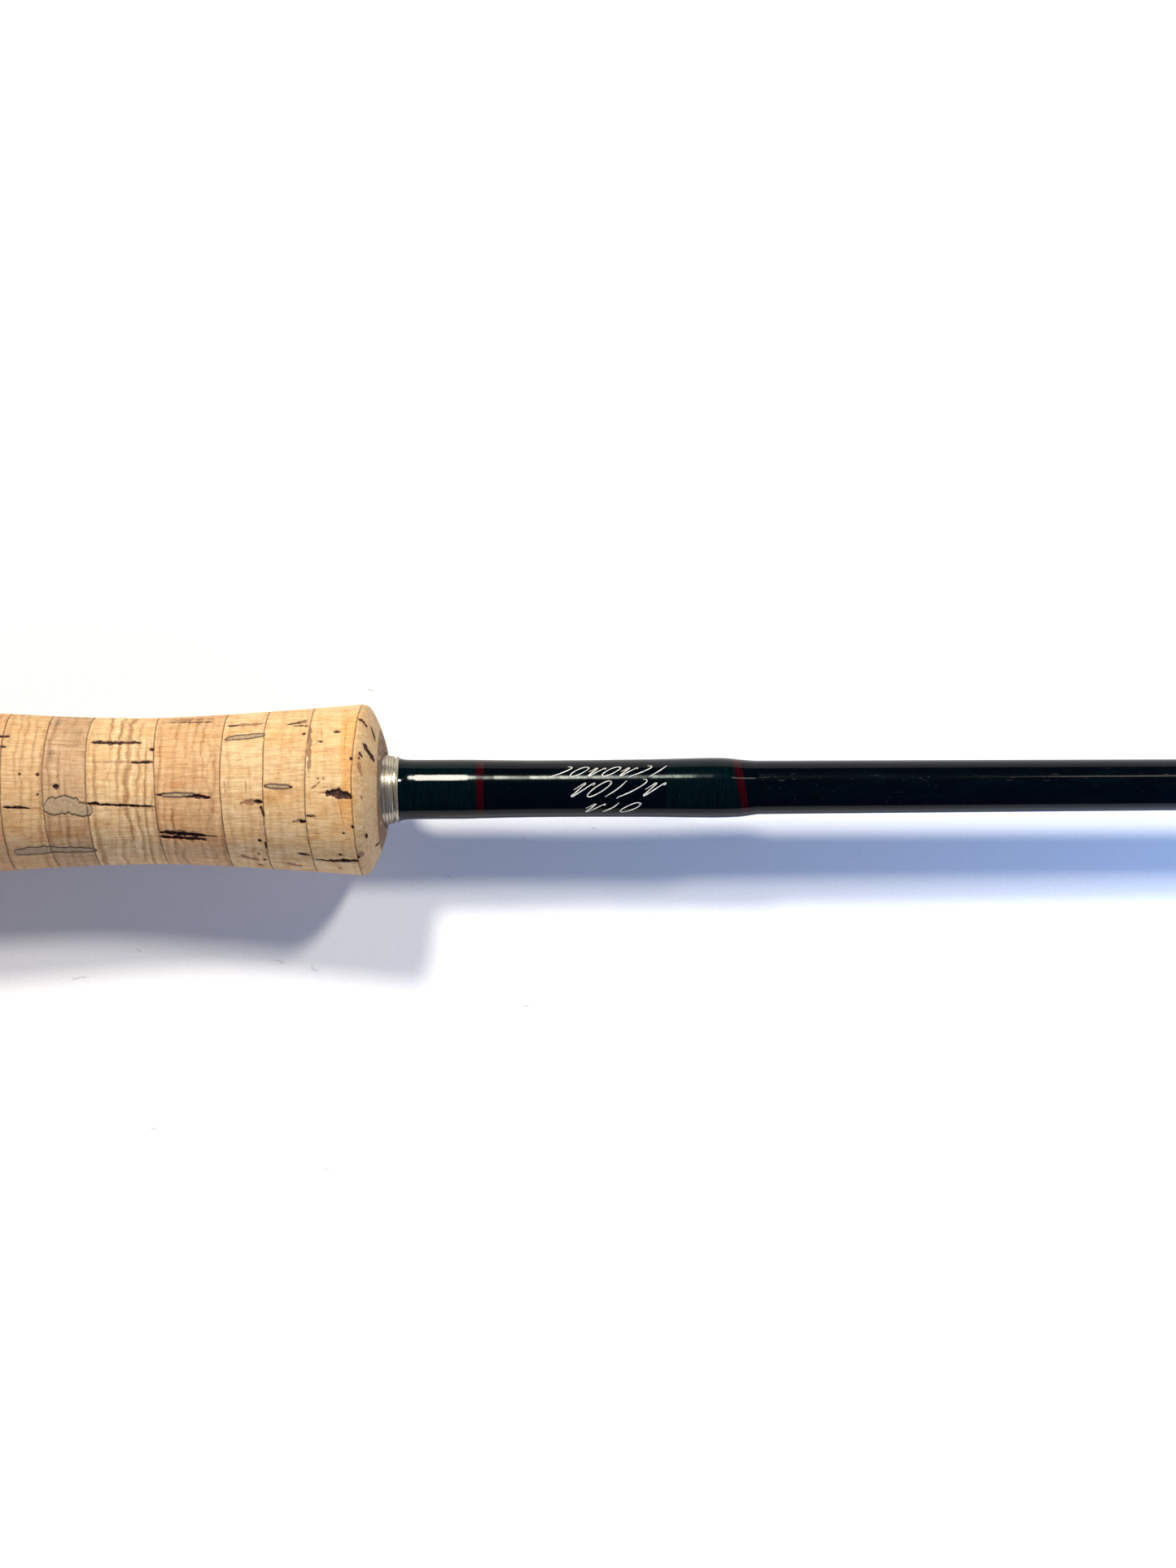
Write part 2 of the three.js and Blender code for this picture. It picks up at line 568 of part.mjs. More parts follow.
// Snake guide: one wire that rises from its rear foot, loops once round the line and comes down
// to its front foot, with a thread wrap over each foot.
function snakeGuide(centre, scale) {
  const reach = SNAKE_HALF_LENGTH * scale;
  const surface = blankRadius(centre - reach) + THREAD_ROOM + SNAKE_WIRE;
  const foot = SNAKE_FOOT * scale;
  const width = SNAKE_HALF_WIDTH * scale;
  const rise = SNAKE_HEIGHT * scale;
  const bend = reach - foot;
  const half = [
    [reach, surface, 0],
    [bend, surface, 0],
    [bend * 0.66, surface + rise * 0.26, width * 0.72],
    [bend * 0.3, surface + rise * 0.7, width],
    [0, surface + rise, 0],
  ];
  const other = half.slice(0, -1).reverse().map(([x, y, z]) => [-x, y, -z]);
  const bent = wire([...half, ...other].map(([x, y, z]) => [centre - x, y, z]), SNAKE_WIRE, SNAKE_STEPS);
  const wrap = (start, end) => wrapOver(start, end, GUIDE_WRAP_BUILD);
  const far = reach + WRAP_PAST_FOOT;
  return geometryOf(joined(bent, wrap(centre - far, centre - bend), wrap(centre + bend, centre + far)));
}

let growthSum = 0;
for (let i = 0; i < TIP_GUIDES; i += 1) growthSum += GUIDE_GROWTH ** i;
const tipRun = ROD_LENGTH - TIP_SECTION_START - LAST_GUIDE_TO_FERRULE;
const firstSpace = tipRun / growthSum;
const snakePlaces = [];
let fromTip = 0;
for (let i = 0; i < TIP_GUIDES; i += 1) {
  fromTip += firstSpace * GUIDE_GROWTH ** i;
  snakePlaces.push(ROD_LENGTH - fromTip);
}
const buttSnake = BUTT_SECTION_END - SNAKE_BELOW_FERRULE;
snakePlaces.push(buttSnake);
snakePlaces.reverse().forEach((x, i) => {
  const scale = lerp(1, SMALLEST_SNAKE, i / TIP_GUIDES);
  add(`snake_guide_${i + 1}`, snakeGuide(x, scale), guideSteel);
});

// Stripping guide: a hoop on three legs, two flattened feet, and a ceramic ring pressed in.
const stripperX = buttSnake - STRIPPER_BELOW_SNAKE;
const stripperSurface = blankRadius(stripperX);
const ringCentre = stripperSurface + STRIPPER_HEIGHT;
const hoopInside = STRIPPER_BORE_RADIUS + CERAMIC_THICKNESS + GLUE_GAP;
const hoopMiddle = hoopInside + HOOP_THICKNESS / 2;

function ringAcross(insideRadius, outsideRadius, length) {
  const half = length / 2;
  const geometry = sleeve(-half, half, () => insideRadius, () => outsideRadius);
  geometry.translate(stripperX, ringCentre, 0);
  return geometry;
}

function stripperFoot(direction, grow) {
  const length = STRIPPER_FOOT_LENGTH + grow * 2;
  const thickness = STRIPPER_FOOT_THICKNESS + grow * 2;
  const geometry = new THREE.BoxGeometry(length, thickness, (STRIPPER_FOOT_HALF_WIDTH + grow) * 2);
  const middle = STRIPPER_FOOT_REACH + STRIPPER_FOOT_LENGTH / 2;
  const height = stripperSurface + CUT_GAP + STRIPPER_FOOT_THICKNESS / 2;
  geometry.translate(stripperX + direction * middle, height, 0);
  return geometry;
}

function stripperLeg(direction, side) {
  const footTop = stripperSurface + CUT_GAP + STRIPPER_FOOT_THICKNESS / 2;
  const shoulder = ringCentre - Math.sqrt(hoopMiddle ** 2 - (side * LEG_SPREAD) ** 2);
  const toe = direction * (STRIPPER_FOOT_REACH + LEG_ONTO_FOOT);
  const knee = direction * STRIPPER_FOOT_REACH * LEG_KNEE;
  return wire([
    [stripperX + toe, footTop, side * LEG_WIRE],
    [stripperX + knee, lerp(footTop, shoulder, LEG_KNEE_HEIGHT), side * LEG_SPREAD * LEG_KNEE],
    [stripperX, shoulder, side * LEG_SPREAD],
  ], LEG_WIRE, LEG_STEPS);
}

add('stripping_guide_frame', geometryOf(joined(
  ringAcross(hoopInside, hoopInside + HOOP_THICKNESS, HOOP_LENGTH),
  stripperFoot(-1, 0),
  stripperFoot(1, 0),
  stripperLeg(-1, -1),
  stripperLeg(-1, 1),
  stripperLeg(1, 0),
).subtract(solid(ringAcross(0.5, hoopInside, CERAMIC_LENGTH)))), guideSteel);
add('stripping_guide_ring', ringAcross(
  STRIPPER_BORE_RADIUS,
  STRIPPER_BORE_RADIUS + CERAMIC_THICKNESS,
  CERAMIC_LENGTH,
), ceramicBlack);
[['rear', -1], ['front', 1]].forEach(([place, direction]) => {
  const near = stripperX + direction * (STRIPPER_FOOT_REACH + WRAP_OFF_LEG);
  const far = stripperX + direction * (STRIPPER_FOOT_REACH + STRIPPER_FOOT_LENGTH + WRAP_PAST_FOOT);
  const whole = solid(wrapOver(Math.min(near, far), Math.max(near, far), GUIDE_WRAP_BUILD));
  const slotted = whole.subtract(solid(stripperFoot(direction, CUT_GAP)));
  add(`stripper_${place}_wrap`, geometryOf(slotted), greenThread);
});

// Tip-top: a short tube over the tip with a wire loop for the line, and its thread wrap.
const tubeEnd = ROD_LENGTH - SNAKE_WIRE;
const tubeStart = tubeEnd - TIP_TUBE_LENGTH;
const tubeInside = (x) => blankRadius(x) + GLUE_GAP;
const tubeOutside = (x) => blankRadius(tubeStart) + GLUE_GAP + TIP_TUBE_WALL;
const loopCentre = tubeOutside(tubeEnd) + TIP_LOOP_RADIUS + SNAKE_WIRE / 2;
const loop = new THREE.TorusGeometry(TIP_LOOP_RADIUS, SNAKE_WIRE, WIRE_SIDES, SIDES);
loop.rotateY(Math.PI / 2);
loop.translate(ROD_LENGTH - SNAKE_WIRE, loopCentre, 0);
const tipTube = sleeve(tubeStart, tubeEnd, tubeInside, tubeOutside);
add('tip_top', geometryOf(joined(loop, tipTube)), guideSteel);
add('tip_top_wrap', wrapOver(tubeStart - TIP_WRAP_LENGTH, tubeStart, THREAD_BUILD), greenThread);

export default flyRod;
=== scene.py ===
import math
import random

import bmesh
import bpy
import numpy as np
from mathutils import Euler, Matrix, Vector


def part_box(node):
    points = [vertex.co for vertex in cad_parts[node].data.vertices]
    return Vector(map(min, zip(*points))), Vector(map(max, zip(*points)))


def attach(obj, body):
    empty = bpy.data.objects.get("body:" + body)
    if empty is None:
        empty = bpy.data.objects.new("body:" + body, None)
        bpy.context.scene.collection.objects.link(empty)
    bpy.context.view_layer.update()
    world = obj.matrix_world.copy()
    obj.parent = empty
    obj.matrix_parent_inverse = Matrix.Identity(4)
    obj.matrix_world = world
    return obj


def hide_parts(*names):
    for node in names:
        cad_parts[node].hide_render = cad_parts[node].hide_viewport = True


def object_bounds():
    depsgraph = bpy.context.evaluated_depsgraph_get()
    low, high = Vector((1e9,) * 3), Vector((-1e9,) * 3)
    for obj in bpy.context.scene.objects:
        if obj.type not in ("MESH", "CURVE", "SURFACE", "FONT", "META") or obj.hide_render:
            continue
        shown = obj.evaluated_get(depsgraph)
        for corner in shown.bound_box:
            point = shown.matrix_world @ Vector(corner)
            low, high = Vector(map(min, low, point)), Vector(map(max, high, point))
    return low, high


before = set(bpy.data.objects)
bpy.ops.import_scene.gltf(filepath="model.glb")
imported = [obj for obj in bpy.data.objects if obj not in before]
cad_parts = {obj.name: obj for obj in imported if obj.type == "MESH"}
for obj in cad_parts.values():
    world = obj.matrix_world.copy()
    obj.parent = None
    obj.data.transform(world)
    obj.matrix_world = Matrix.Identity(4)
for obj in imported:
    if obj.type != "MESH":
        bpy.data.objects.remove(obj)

cad_low, cad_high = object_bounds()

# ---- Butt cap
# A turned nickel-silver disc whose plug is glued into the barrel. The lathe leaves an eased
# rim, a shallow step and a small centre dimple in its end face.
MM = 0.001
FULL_TURN = 2 * math.pi


def ends(node):
    """Where a node of the frame starts and ends along the rod, in millimetres."""
    low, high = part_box(node)
    return low.x / MM, high.x / MM


def turned(outline, sides=96, eased=0.0, segments=2):
    """A shape turned about the rod's axis from (x, radius) corners in millimetres. An outline
    that starts on the axis also ends there, and any other closes on itself."""
    bm = bmesh.new()
    corners = [bm.verts.new((x * MM, 0, radius * MM)) for x, radius in outline]
    following = corners[1:] if outline[0][1] == 0 else corners[1:] + corners[:1]
    line = [bm.edges.new(pair) for pair in zip(corners, following)]
    bmesh.ops.spin(bm, geom=corners + line, cent=(0, 0, 0), axis=(1, 0, 0),
                   angle=FULL_TURN, steps=sides, use_merge=True)
    bmesh.ops.remove_doubles(bm, verts=bm.verts, dist=1e-7)
    bmesh.ops.recalc_face_normals(bm, faces=bm.faces)
    if eased:
        ease(bm, eased, segments)
    return bm


def ease(bm, width, segments=2, sharper_than=32):
    """Rounds every edge that is sharper than so many degrees."""
    sharp = [edge for edge in bm.edges
             if edge.is_manifold and edge.calc_face_angle(0) > math.radians(sharper_than)]
    bmesh.ops.bevel(bm, geom=sharp, offset=width * MM, segments=segments, profile=0.5,
                    affect="EDGES", material=-1, clamp_overlap=True)


def keep(name, bm, material, nodes=(), body="root", crease=34):
    """Makes a finished shape a piece of the rod, which stands for the nodes it replaces."""
    mesh = bpy.data.meshes.new(name)
    bm.to_mesh(mesh)
    bm.free()
    mesh.materials.append(material)
    mesh.shade_smooth()
    mesh.set_sharp_from_angle(angle=math.radians(crease))
    piece = bpy.data.objects.new(name, mesh)
    bpy.context.scene.collection.objects.link(piece)
    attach(piece, body)
    if nodes:
        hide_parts(*nodes)
    return piece


class Signal:
    """One output in a material's nodes. Arithmetic on it adds Math nodes."""

    def __init__(self, tree, socket=None):
        self.tree = tree
        self.socket = socket

    def node(self, kind, settings=None, inputs=None, output=None):
        """A new node, its settings first, then the values or links of its sockets. A socket
        is found by its identifier, and the first output serves where none is named."""
        made = self.tree.nodes.new("ShaderNode" + kind)
        for key, value in (settings or {}).items():
            setattr(made, key, value)
        for key, value in (inputs or {}).items():
            socket = self.named(made.inputs, key)
            if isinstance(value, Signal):
                self.tree.links.new(value.socket, socket)
            elif socket.type == "RGBA" and len(value) == 3:
                socket.default_value = (*value, 1)
            else:
                socket.default_value = value
        return Signal(self.tree, self.named(made.outputs, output) if made.outputs else None)

    @staticmethod
    def named(sockets, key):
        if key is None:
            return sockets[0]
        return next((socket for socket in sockets if socket.identifier == key), None) or sockets[key]

    def math(self, operation, other=0.0, reverse=False):
        pair = (other, self) if reverse else (self, other)
        return self.node("Math", {"operation": operation}, dict(zip(("Value", "Value_001"), pair)))

    def __add__(self, other):
        return self.math("ADD", other)

    __radd__ = __add__

    def __mul__(self, other):
        return self.math("MULTIPLY", other)

    __rmul__ = __mul__

    def __sub__(self, other):
        return self.math("SUBTRACT", other)

    def __rsub__(self, other):
        return self.math("SUBTRACT", other, reverse=True)

    def __abs__(self):
        return self.math("ABSOLUTE")

    def rise(self, low, high):
        """0 below low and 1 above high, smooth between. Low may be the larger of the two."""
        start, end, top = (low, high, self) if low < high else (high, low, self)
        risen = self.node("MapRange", {"interpolation_type": "SMOOTHSTEP"},
                          {"Value": top, "From Min": start, "From Max": end})
        return risen if low < high else 1 - risen

    def mix(self, without, within):
        """One colour where this is 0 and the other where it is 1."""
        return self.node("Mix", {"data_type": "RGBA"}, {
            "Factor_Float": self, "A_Color": without, "B_Color": within}, "Result_Color")

    def tinted(self, colour):
        """This colour multiplied by another."""
        return self.node("Mix", {"data_type": "RGBA", "blend_type": "MULTIPLY"}, {
            "Factor_Float": 1.0, "A_Color": self, "B_Color": colour}, "Result_Color")

    def shaded(self, colour, shade):
        """A colour that is multiplied by a shade where this is 1."""
        return self.mix(colour, colour.tinted(shade))

    def stretched(self, x, y, z):
        """These coordinates multiplied along each axis."""
        return self.node("VectorMath", {"operation": "MULTIPLY"},
                         {"Vector": self, "Vector_001": (x, y, z)})

    def noise(self, scale, detail=3.0, roughness=0.55):
        return self.node("TexNoise", None, {"Vector": self, "Scale": scale, "Detail": detail,
                                            "Roughness": roughness})

    def lines(self, scale, detail, roughness=0.5):
        """Uneven stripes across the direction that this number grows in."""
        return self.node("TexNoise", {"noise_dimensions": "1D"}, {
            "W": self, "Scale": scale, "Detail": detail, "Roughness": roughness})

    def along(self):
        """The coordinate along the rod."""
        return self.node("SeparateXYZ", None, {"Vector": self}, "X")

    def bump(self, depth, strength=1.0):
        """A surface raised by this signal, its full height in millimetres."""
        return self.node("Bump", None, {"Height": self, "Distance": depth * MM,
                                        "Strength": strength})


def new_finish(name):
    """An empty material and its Object coordinates in millimetres."""
    material = bpy.data.materials.new(name)
    material.use_nodes = True
    material.node_tree.nodes.clear()
    place = Signal(material.node_tree).node("TexCoord", output="Object")
    return material, place.node("VectorMath", {"operation": "SCALE"},
                                {"Vector": place, "Scale": 1 / MM})


def paint(at, inputs):
    shader = at.node("BsdfPrincipled", None, inputs)
    at.node("OutputMaterial", None, {"Surface": shader})


def lathe_metal(name, bright, dull, roughness, depth=0.012, metallic=1.0):
    """A polished metal: fine rings from the lathe, rubbed patches and a few dull specks."""
    material, at = new_finish(name)
    rings = at.along().lines(7.0, 3.0)
    rubbed = at.noise(0.28, 4.0, 0.6).rise(0.42, 0.68)
    specks = at.noise(2.2, 2.0, 0.5).rise(0.66, 0.74)
    scuffs = at.stretched(0.5, 5.0, 5.0).noise(1.0, 4.0, 0.7).rise(0.56, 0.72)
    paint(at, {
        "Base Color": (rubbed * 0.45 + specks * 0.4).mix(bright, dull),
        "Metallic": metallic, "Specular Tint": (*bright, 1),
        "Roughness": roughness + rubbed * 0.08 + rings * 0.06 + scuffs * 0.06,
        "Normal": (rings + scuffs * 0.3).bump(depth, 0.7),
    })
    return material


nickel_silver = lathe_metal("nickel_silver", (0.66, 0.63, 0.56), (0.42, 0.38, 0.31), 0.2)

cap_start, cap_plug_end = ends("butt_cap")
cap_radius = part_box("butt_cap")[1].y / MM
CAP_LENGTH = 4.6
CAP_EASE = 1.0
PLUG_RADIUS = 5.48
keep("seat_cap", turned([
    (cap_start + 0.5, 0), (cap_start + 0.12, 0.9), (cap_start + 0.12, 2.6),
    (cap_start, 3.0), (cap_start, cap_radius - CAP_EASE - 0.3),
    (cap_start + 0.18, cap_radius - CAP_EASE + 0.25), (cap_start + CAP_EASE, cap_radius - 0.08),
    (cap_start + CAP_EASE + 0.3, cap_radius), (CAP_LENGTH - 0.9, cap_radius),
    (CAP_LENGTH - 0.75, cap_radius - 0.18), (CAP_LENGTH - 0.55, cap_radius - 0.18),
    (CAP_LENGTH - 0.4, cap_radius), (CAP_LENGTH, cap_radius - 0.05),
    (CAP_LENGTH, PLUG_RADIUS), (cap_plug_end, PLUG_RADIUS), (cap_plug_end, 0),
], eased=0.05), nickel_silver, ["butt_cap"])

# ---- Threaded barrel
# The aluminium tube behind the wood spacer. A real single-start thread is cut along it for
# the locking nut, between a plain collar and a short runout.
barrel_start, barrel_end = ends("threaded_barrel")
BARREL_RADIUS = 8.5
SEAT_BORE = 5.6
THREAD_START = 12.6
THREAD_END = 44.5
THREAD_PITCH = 2.0
THREAD_DEPTH = 0.6
THREAD_SIDES = 72
barrel_metal = lathe_metal("barrel_metal", (0.40, 0.41, 0.42), (0.22, 0.22, 0.23), 0.27)


def thread_tube():
    """A tube whose outside is a helical thread, closed by a flat annulus at each end."""
    bm = bmesh.new()
    root = BARREL_RADIUS - THREAD_DEPTH
    tooth = [(0.0, root), (0.12, root), (0.42, BARREL_RADIUS), (0.58, BARREL_RADIUS),
             (0.88, root), (1.0, root)]
    first = THREAD_START - 2 * THREAD_PITCH
    turns = math.ceil((THREAD_END - THREAD_START) / THREAD_PITCH) + 4
    corners = [bm.verts.new(((first + share * THREAD_PITCH) * MM, 0, radius * MM))
               for share, radius in tooth]
    line = [bm.edges.new(pair) for pair in zip(corners, corners[1:])]
    bmesh.ops.spin(bm, geom=corners + line, cent=(0, 0, 0), axis=(1, 0, 0),
                   dvec=(THREAD_PITCH * MM / THREAD_SIDES, 0, 0), angle=FULL_TURN * turns,
                   steps=THREAD_SIDES * turns)
    bmesh.ops.remove_doubles(bm, verts=bm.verts, dist=5e-6)
    for cut, facing in ((THREAD_START, -1), (THREAD_END, 1)):
        bmesh.ops.bisect_plane(bm, geom=bm.verts[:] + bm.edges[:] + bm.faces[:],
                               plane_co=(cut * MM, 0, 0), plane_no=(facing, 0, 0),
                               clear_outer=True)
    rims = [edge for edge in bm.edges if edge.is_boundary]
    inner = bmesh.ops.extrude_edge_only(bm, edges=rims)["geom"]
    for vert in (item for item in inner if isinstance(item, bmesh.types.BMVert)):
        flat = Vector((0, vert.co.y, vert.co.z)).normalized() * SEAT_BORE * MM
        vert.co = (vert.co.x, flat.y, flat.z)
    bmesh.ops.bridge_loops(bm, edges=[edge for edge in bm.edges if edge.is_boundary])
    bmesh.ops.recalc_face_normals(bm, faces=bm.faces)
    return bm


def sleeve(start, end, inside, outside, sides=96, eased=0.0):
    return turned([(start, inside), (end, inside), (end, outside), (start, outside)], sides,
                  eased)


def join(*shapes):
    """Several shapes as one, the later ones copied into the first."""
    whole = shapes[0]
    for shape in shapes[1:]:
        mesh = bpy.data.meshes.new("part")
        shape.to_mesh(mesh)
        shape.free()
        whole.from_mesh(mesh)
        bpy.data.meshes.remove(mesh)
    return whole


keep("seat_barrel", join(
    thread_tube(),
    sleeve(barrel_start, THREAD_START, SEAT_BORE, BARREL_RADIUS, eased=0.12),
    sleeve(THREAD_END, barrel_end, SEAT_BORE, BARREL_RADIUS - THREAD_DEPTH),
), barrel_metal, ["threaded_barrel"])

# ---- Locking nut
# A fluted nickel-silver ring that runs on the barrel's thread and pushes the sliding hood.
# Its flutes are milled for the fingers and both its rims are chamfered.
nut_start, nut_end = ends("locking_nut")
NUT_RADIUS = 10.3
NUT_FLUTES = 20
FLUTE_DEPTH = 0.55


def lofted(sections, sides=96, eased=0.0, segments=2):
    """A closed shape through rings about the rod's axis. Each section is an x in millimetres
    and the radius at an angle from +Y; they go out one way and back the other."""
    bm = bmesh.new()
    ring = bmesh.ops.create_circle(bm, segments=sides, radius=MM)["verts"]
    bmesh.ops.rotate(bm, verts=ring, matrix=Matrix.Rotation(math.pi / 2, 3, "Y"))
    edges = bm.edges[:]
    for number, (x, radius_at) in enumerate(sections + sections[:1]):
        if number:
            grown = bmesh.ops.extrude_edge_only(bm, edges=edges)["geom"]
            ring = [item for item in grown if isinstance(item, bmesh.types.BMVert)]
            edges = [edge for edge in grown if isinstance(edge, bmesh.types.BMEdge)
                     and all(vert in ring for vert in edge.verts)]
        for vert in ring:
            angle = math.atan2(vert.co.z, vert.co.y)
            radius = radius_at(angle) * MM
            vert.co = (x * MM, radius * math.cos(angle), radius * math.sin(angle))
    bmesh.ops.remove_doubles(bm, verts=bm.verts, dist=2e-7)
    bmesh.ops.recalc_face_normals(bm, faces=bm.faces)
    if eased:
        ease(bm, eased, segments)
    return bm


def fluted(radius):
    return lambda angle: radius - FLUTE_DEPTH * abs(math.sin(angle * NUT_FLUTES / 2)) ** 3


def plain(radius):
    return lambda angle: radius


nut_bore = BARREL_RADIUS + 0.25
NUT_RIM = 0.75
nut_face = nut_end - NUT_RIM
keep("seat_nut", lofted([
    (nut_start, plain(NUT_RADIUS - FLUTE_DEPTH - NUT_RIM)),
    (nut_start + NUT_RIM, fluted(NUT_RADIUS - 0.15)),
    (nut_start + NUT_RIM + 0.25, fluted(NUT_RADIUS)), (nut_face - 1.35, fluted(NUT_RADIUS)),
    (nut_face - 1.15, plain(NUT_RADIUS - 0.75)), (nut_face - 0.55, plain(NUT_RADIUS - 0.75)),
    (nut_face - 0.35, plain(NUT_RADIUS)), (nut_face + 0.2, plain(NUT_RADIUS)),
    (nut_end, plain(NUT_RADIUS - NUT_RIM)), (nut_end, plain(nut_bore + 0.3)),
    (nut_end - 0.3, plain(nut_bore)), (nut_start + 0.3, plain(nut_bore)),
    (nut_start, plain(nut_bore + 0.3)),
], sides=240), nickel_silver, ["locking_nut"], "locking_nut", crease=28)

# ---- Hoods
# Two nickel-silver rings, each with an arched pocket for one end of the reel's foot. The rear
# one slides; the front one is let into the spacer and flanged where it meets the cork.
POCKET_CENTRE = 4.0
POCKET_HALF_WIDTH = 8.2
POCKET_HALF_HEIGHT = 10.2
POCKET_CLOSED = 0.95
HOOD_WALL = 1.0
HOOD_END_WALL = 2.2


def arched(bore, wall, size):
    """The outline of a round bore joined with an arch over it, a wall's thickness outside."""
    high = (POCKET_HALF_HEIGHT + wall) * size
    wide = (POCKET_HALF_WIDTH + wall) * size

    def radius_at(angle):
        along, across = math.cos(angle), math.sin(angle)
        a = (along / high) ** 2 + (across / wide) ** 2
        b = -2 * POCKET_CENTRE * along / high ** 2
        c = (POCKET_CENTRE / high) ** 2 - 1
        arch = (-b + math.sqrt(b * b - 4 * a * c)) / (2 * a)
        return max(bore + wall, arch)

    return radius_at


def hood(closed_end, mouth, bore):
    """A hood from its closed end to its mouth, with a rolled lip round the mouth."""
    to_mouth = 1 if mouth > closed_end else -1
    wall_end = closed_end + to_mouth * HOOD_END_WALL
    return lofted([
        (closed_end, arched(bore, HOOD_WALL * 0.6, POCKET_CLOSED * 0.955)),
        (closed_end + to_mouth * 0.25, arched(bore, HOOD_WALL * 0.9, POCKET_CLOSED * 0.985)),
        (closed_end + to_mouth * 0.9, arched(bore, HOOD_WALL, POCKET_CLOSED)),
        (mouth - to_mouth * 1.5, arched(bore, HOOD_WALL * 0.96, 0.995)),
        (mouth - to_mouth * 0.9, arched(bore, HOOD_WALL + 0.1, 1.0)),
        (mouth - to_mouth * 0.2, arched(bore, HOOD_WALL + 0.1, 1.0)),
        (mouth, arched(bore, HOOD_WALL * 0.8, 1.0)),
        (mouth, arched(bore, 0.12, 1.0)), (mouth - to_mouth * 0.25, arched(bore, 0, 1.0)),
        (wall_end, arched(bore, 0, POCKET_CLOSED)), (wall_end, plain(bore)),
        (closed_end, plain(bore)),
    ], sides=128, eased=0.05)


slide_start, slide_end = ends("sliding_hood")
keep("slide_hood", hood(slide_start, slide_end, BARREL_RADIUS + 0.2), nickel_silver,
     ["sliding_hood"], "sliding_hood", crease=30)

hood_mouth, grip_start = ends("front_hood")
front_bore = BARREL_RADIUS + 0.12
FLANGE_RADIUS = 10.5
flange = [(-1.8, front_bore), (0, front_bore), (0, FLANGE_RADIUS), (-0.5, FLANGE_RADIUS),
          (-0.62, FLANGE_RADIUS - 0.16), (-0.8, FLANGE_RADIUS - 0.16), (-0.92, FLANGE_RADIUS),
          (-1.35, FLANGE_RADIUS), (-1.8, FLANGE_RADIUS - 0.45)]
keep("grip_hood", join(
    hood(grip_start, hood_mouth, front_bore),
    turned([(grip_start + x, radius) for x, radius in flange], sides=128, eased=0.06),
), nickel_silver, ["front_hood"], crease=30)

# ---- Wood spacer
# A bored rosewood cylinder with a long flat for the reel's foot. It is sanded along the grain
# and finished with a hard clear varnish, a little duller where the foot has rubbed.
spacer_start, spacer_end = ends("wood_spacer")
FOOT_FLAT = 7.0
TOE_FLOOR = 6.7
spacer_wood, at = new_finish("spacer_wood")
grain_line = at.stretched(0.035, 1.0, 1.0)
figure = grain_line.noise(0.5, 4.0, 0.6)
rings = (figure * 26).math("SINE")
pores = at.stretched(0.14, 2.6, 2.6).noise(1.5, 3.0, 0.7).rise(0.60, 0.70)
dark_streaks = grain_line.noise(1.1, 5.0, 0.65).rise(0.48, 0.66)
wood = dark_streaks.mix((0.23, 0.075, 0.028), (0.052, 0.016, 0.009))
wood = rings.rise(-0.4, 1.0).shaded(wood, (0.62, 0.55, 0.5))
wood = pores.mix(wood, (0.016, 0.006, 0.004))
rubbed_wood = at.noise(0.2, 3.0).rise(0.5, 0.75)
paint(at, {"Base Color": wood, "Roughness": 0.3 + pores * 0.25 + rubbed_wood * 0.15,
           "Coat Weight": 0.75 - rubbed_wood * 0.25, "Coat Roughness": 0.12,
           "Normal": (1 - pores).bump(0.02, 0.5)})


def flattened(radius, height):
    """A circle with its +Y side planed off at a height."""
    return lambda angle: min(radius, height / max(math.cos(angle), 1e-6))


step = hood_mouth - HOOD_WALL
keep("rosewood_insert", lofted([
    (spacer_start, flattened(BARREL_RADIUS - 0.35, FOOT_FLAT)),
    (spacer_start + 0.35, flattened(BARREL_RADIUS, FOOT_FLAT)),
    (step, flattened(BARREL_RADIUS, FOOT_FLAT)), (step, flattened(BARREL_RADIUS, TOE_FLOOR)),
    (spacer_end, flattened(BARREL_RADIUS, TOE_FLOOR)), (spacer_end, plain(SEAT_BORE)),
    (spacer_start, plain(SEAT_BORE)),
], sides=180), spacer_wood, ["wood_spacer"], crease=30)

# ---- Arbors
# Two rings of paper masking tape, wound on the blank until they fill the seat's bore, which
# centre it before the seat is glued on. Their wound layers show at each end.
paper_tape, at = new_finish("paper_tape")
crepe = at.stretched(2.6, 0.5, 0.5).noise(1.0, 4.0, 0.7)
from_axis = at.node("VectorMath", {"operation": "LENGTH"},
                    {"Vector": at.stretched(0.0, 1.0, 1.0)}, "Value")
layer_lines = (from_axis * 42).math("SINE")
tape = crepe.rise(0.35, 0.7).mix((0.60, 0.47, 0.27), (0.72, 0.60, 0.38))
tape = layer_lines.rise(0.2, 1.0).shaded(tape, (0.8, 0.76, 0.7))
paint(at, {"Base Color": tape, "Roughness": 0.8 + crepe * 0.12, "Normal": crepe.bump(0.04, 0.6)})
TAPE_OVERHANG = 0.04
TAPE_LAYERS = 4
GLUE_ROOM = 0.12
BLANK_BUTT_RADIUS = 4.95
COAT_END = 322.85
BLANK_AT_COAT = 4.13


def bore_radius(x):
    """The butt blank's outside as far as the signature coat's end."""
    return BLANK_BUTT_RADIUS - (BLANK_BUTT_RADIUS - BLANK_AT_COAT) * x / COAT_END


for node in ("rear_arbor", "front_arbor"):
    start, end = ends(node)
    inside = bore_radius(start) + GLUE_ROOM
    layer = (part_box(node)[1].y / MM - inside) / TAPE_LAYERS
    steps = [((k % 2) * TAPE_OVERHANG, inside + layer * k) for k in range(TAPE_LAYERS + 1)]
    keep(node + "_tape", turned([(end - inset, radius) for inset, radius in steps]
                                + [(start + inset, radius) for inset, radius in reversed(steps)]),
         paper_tape, [node])

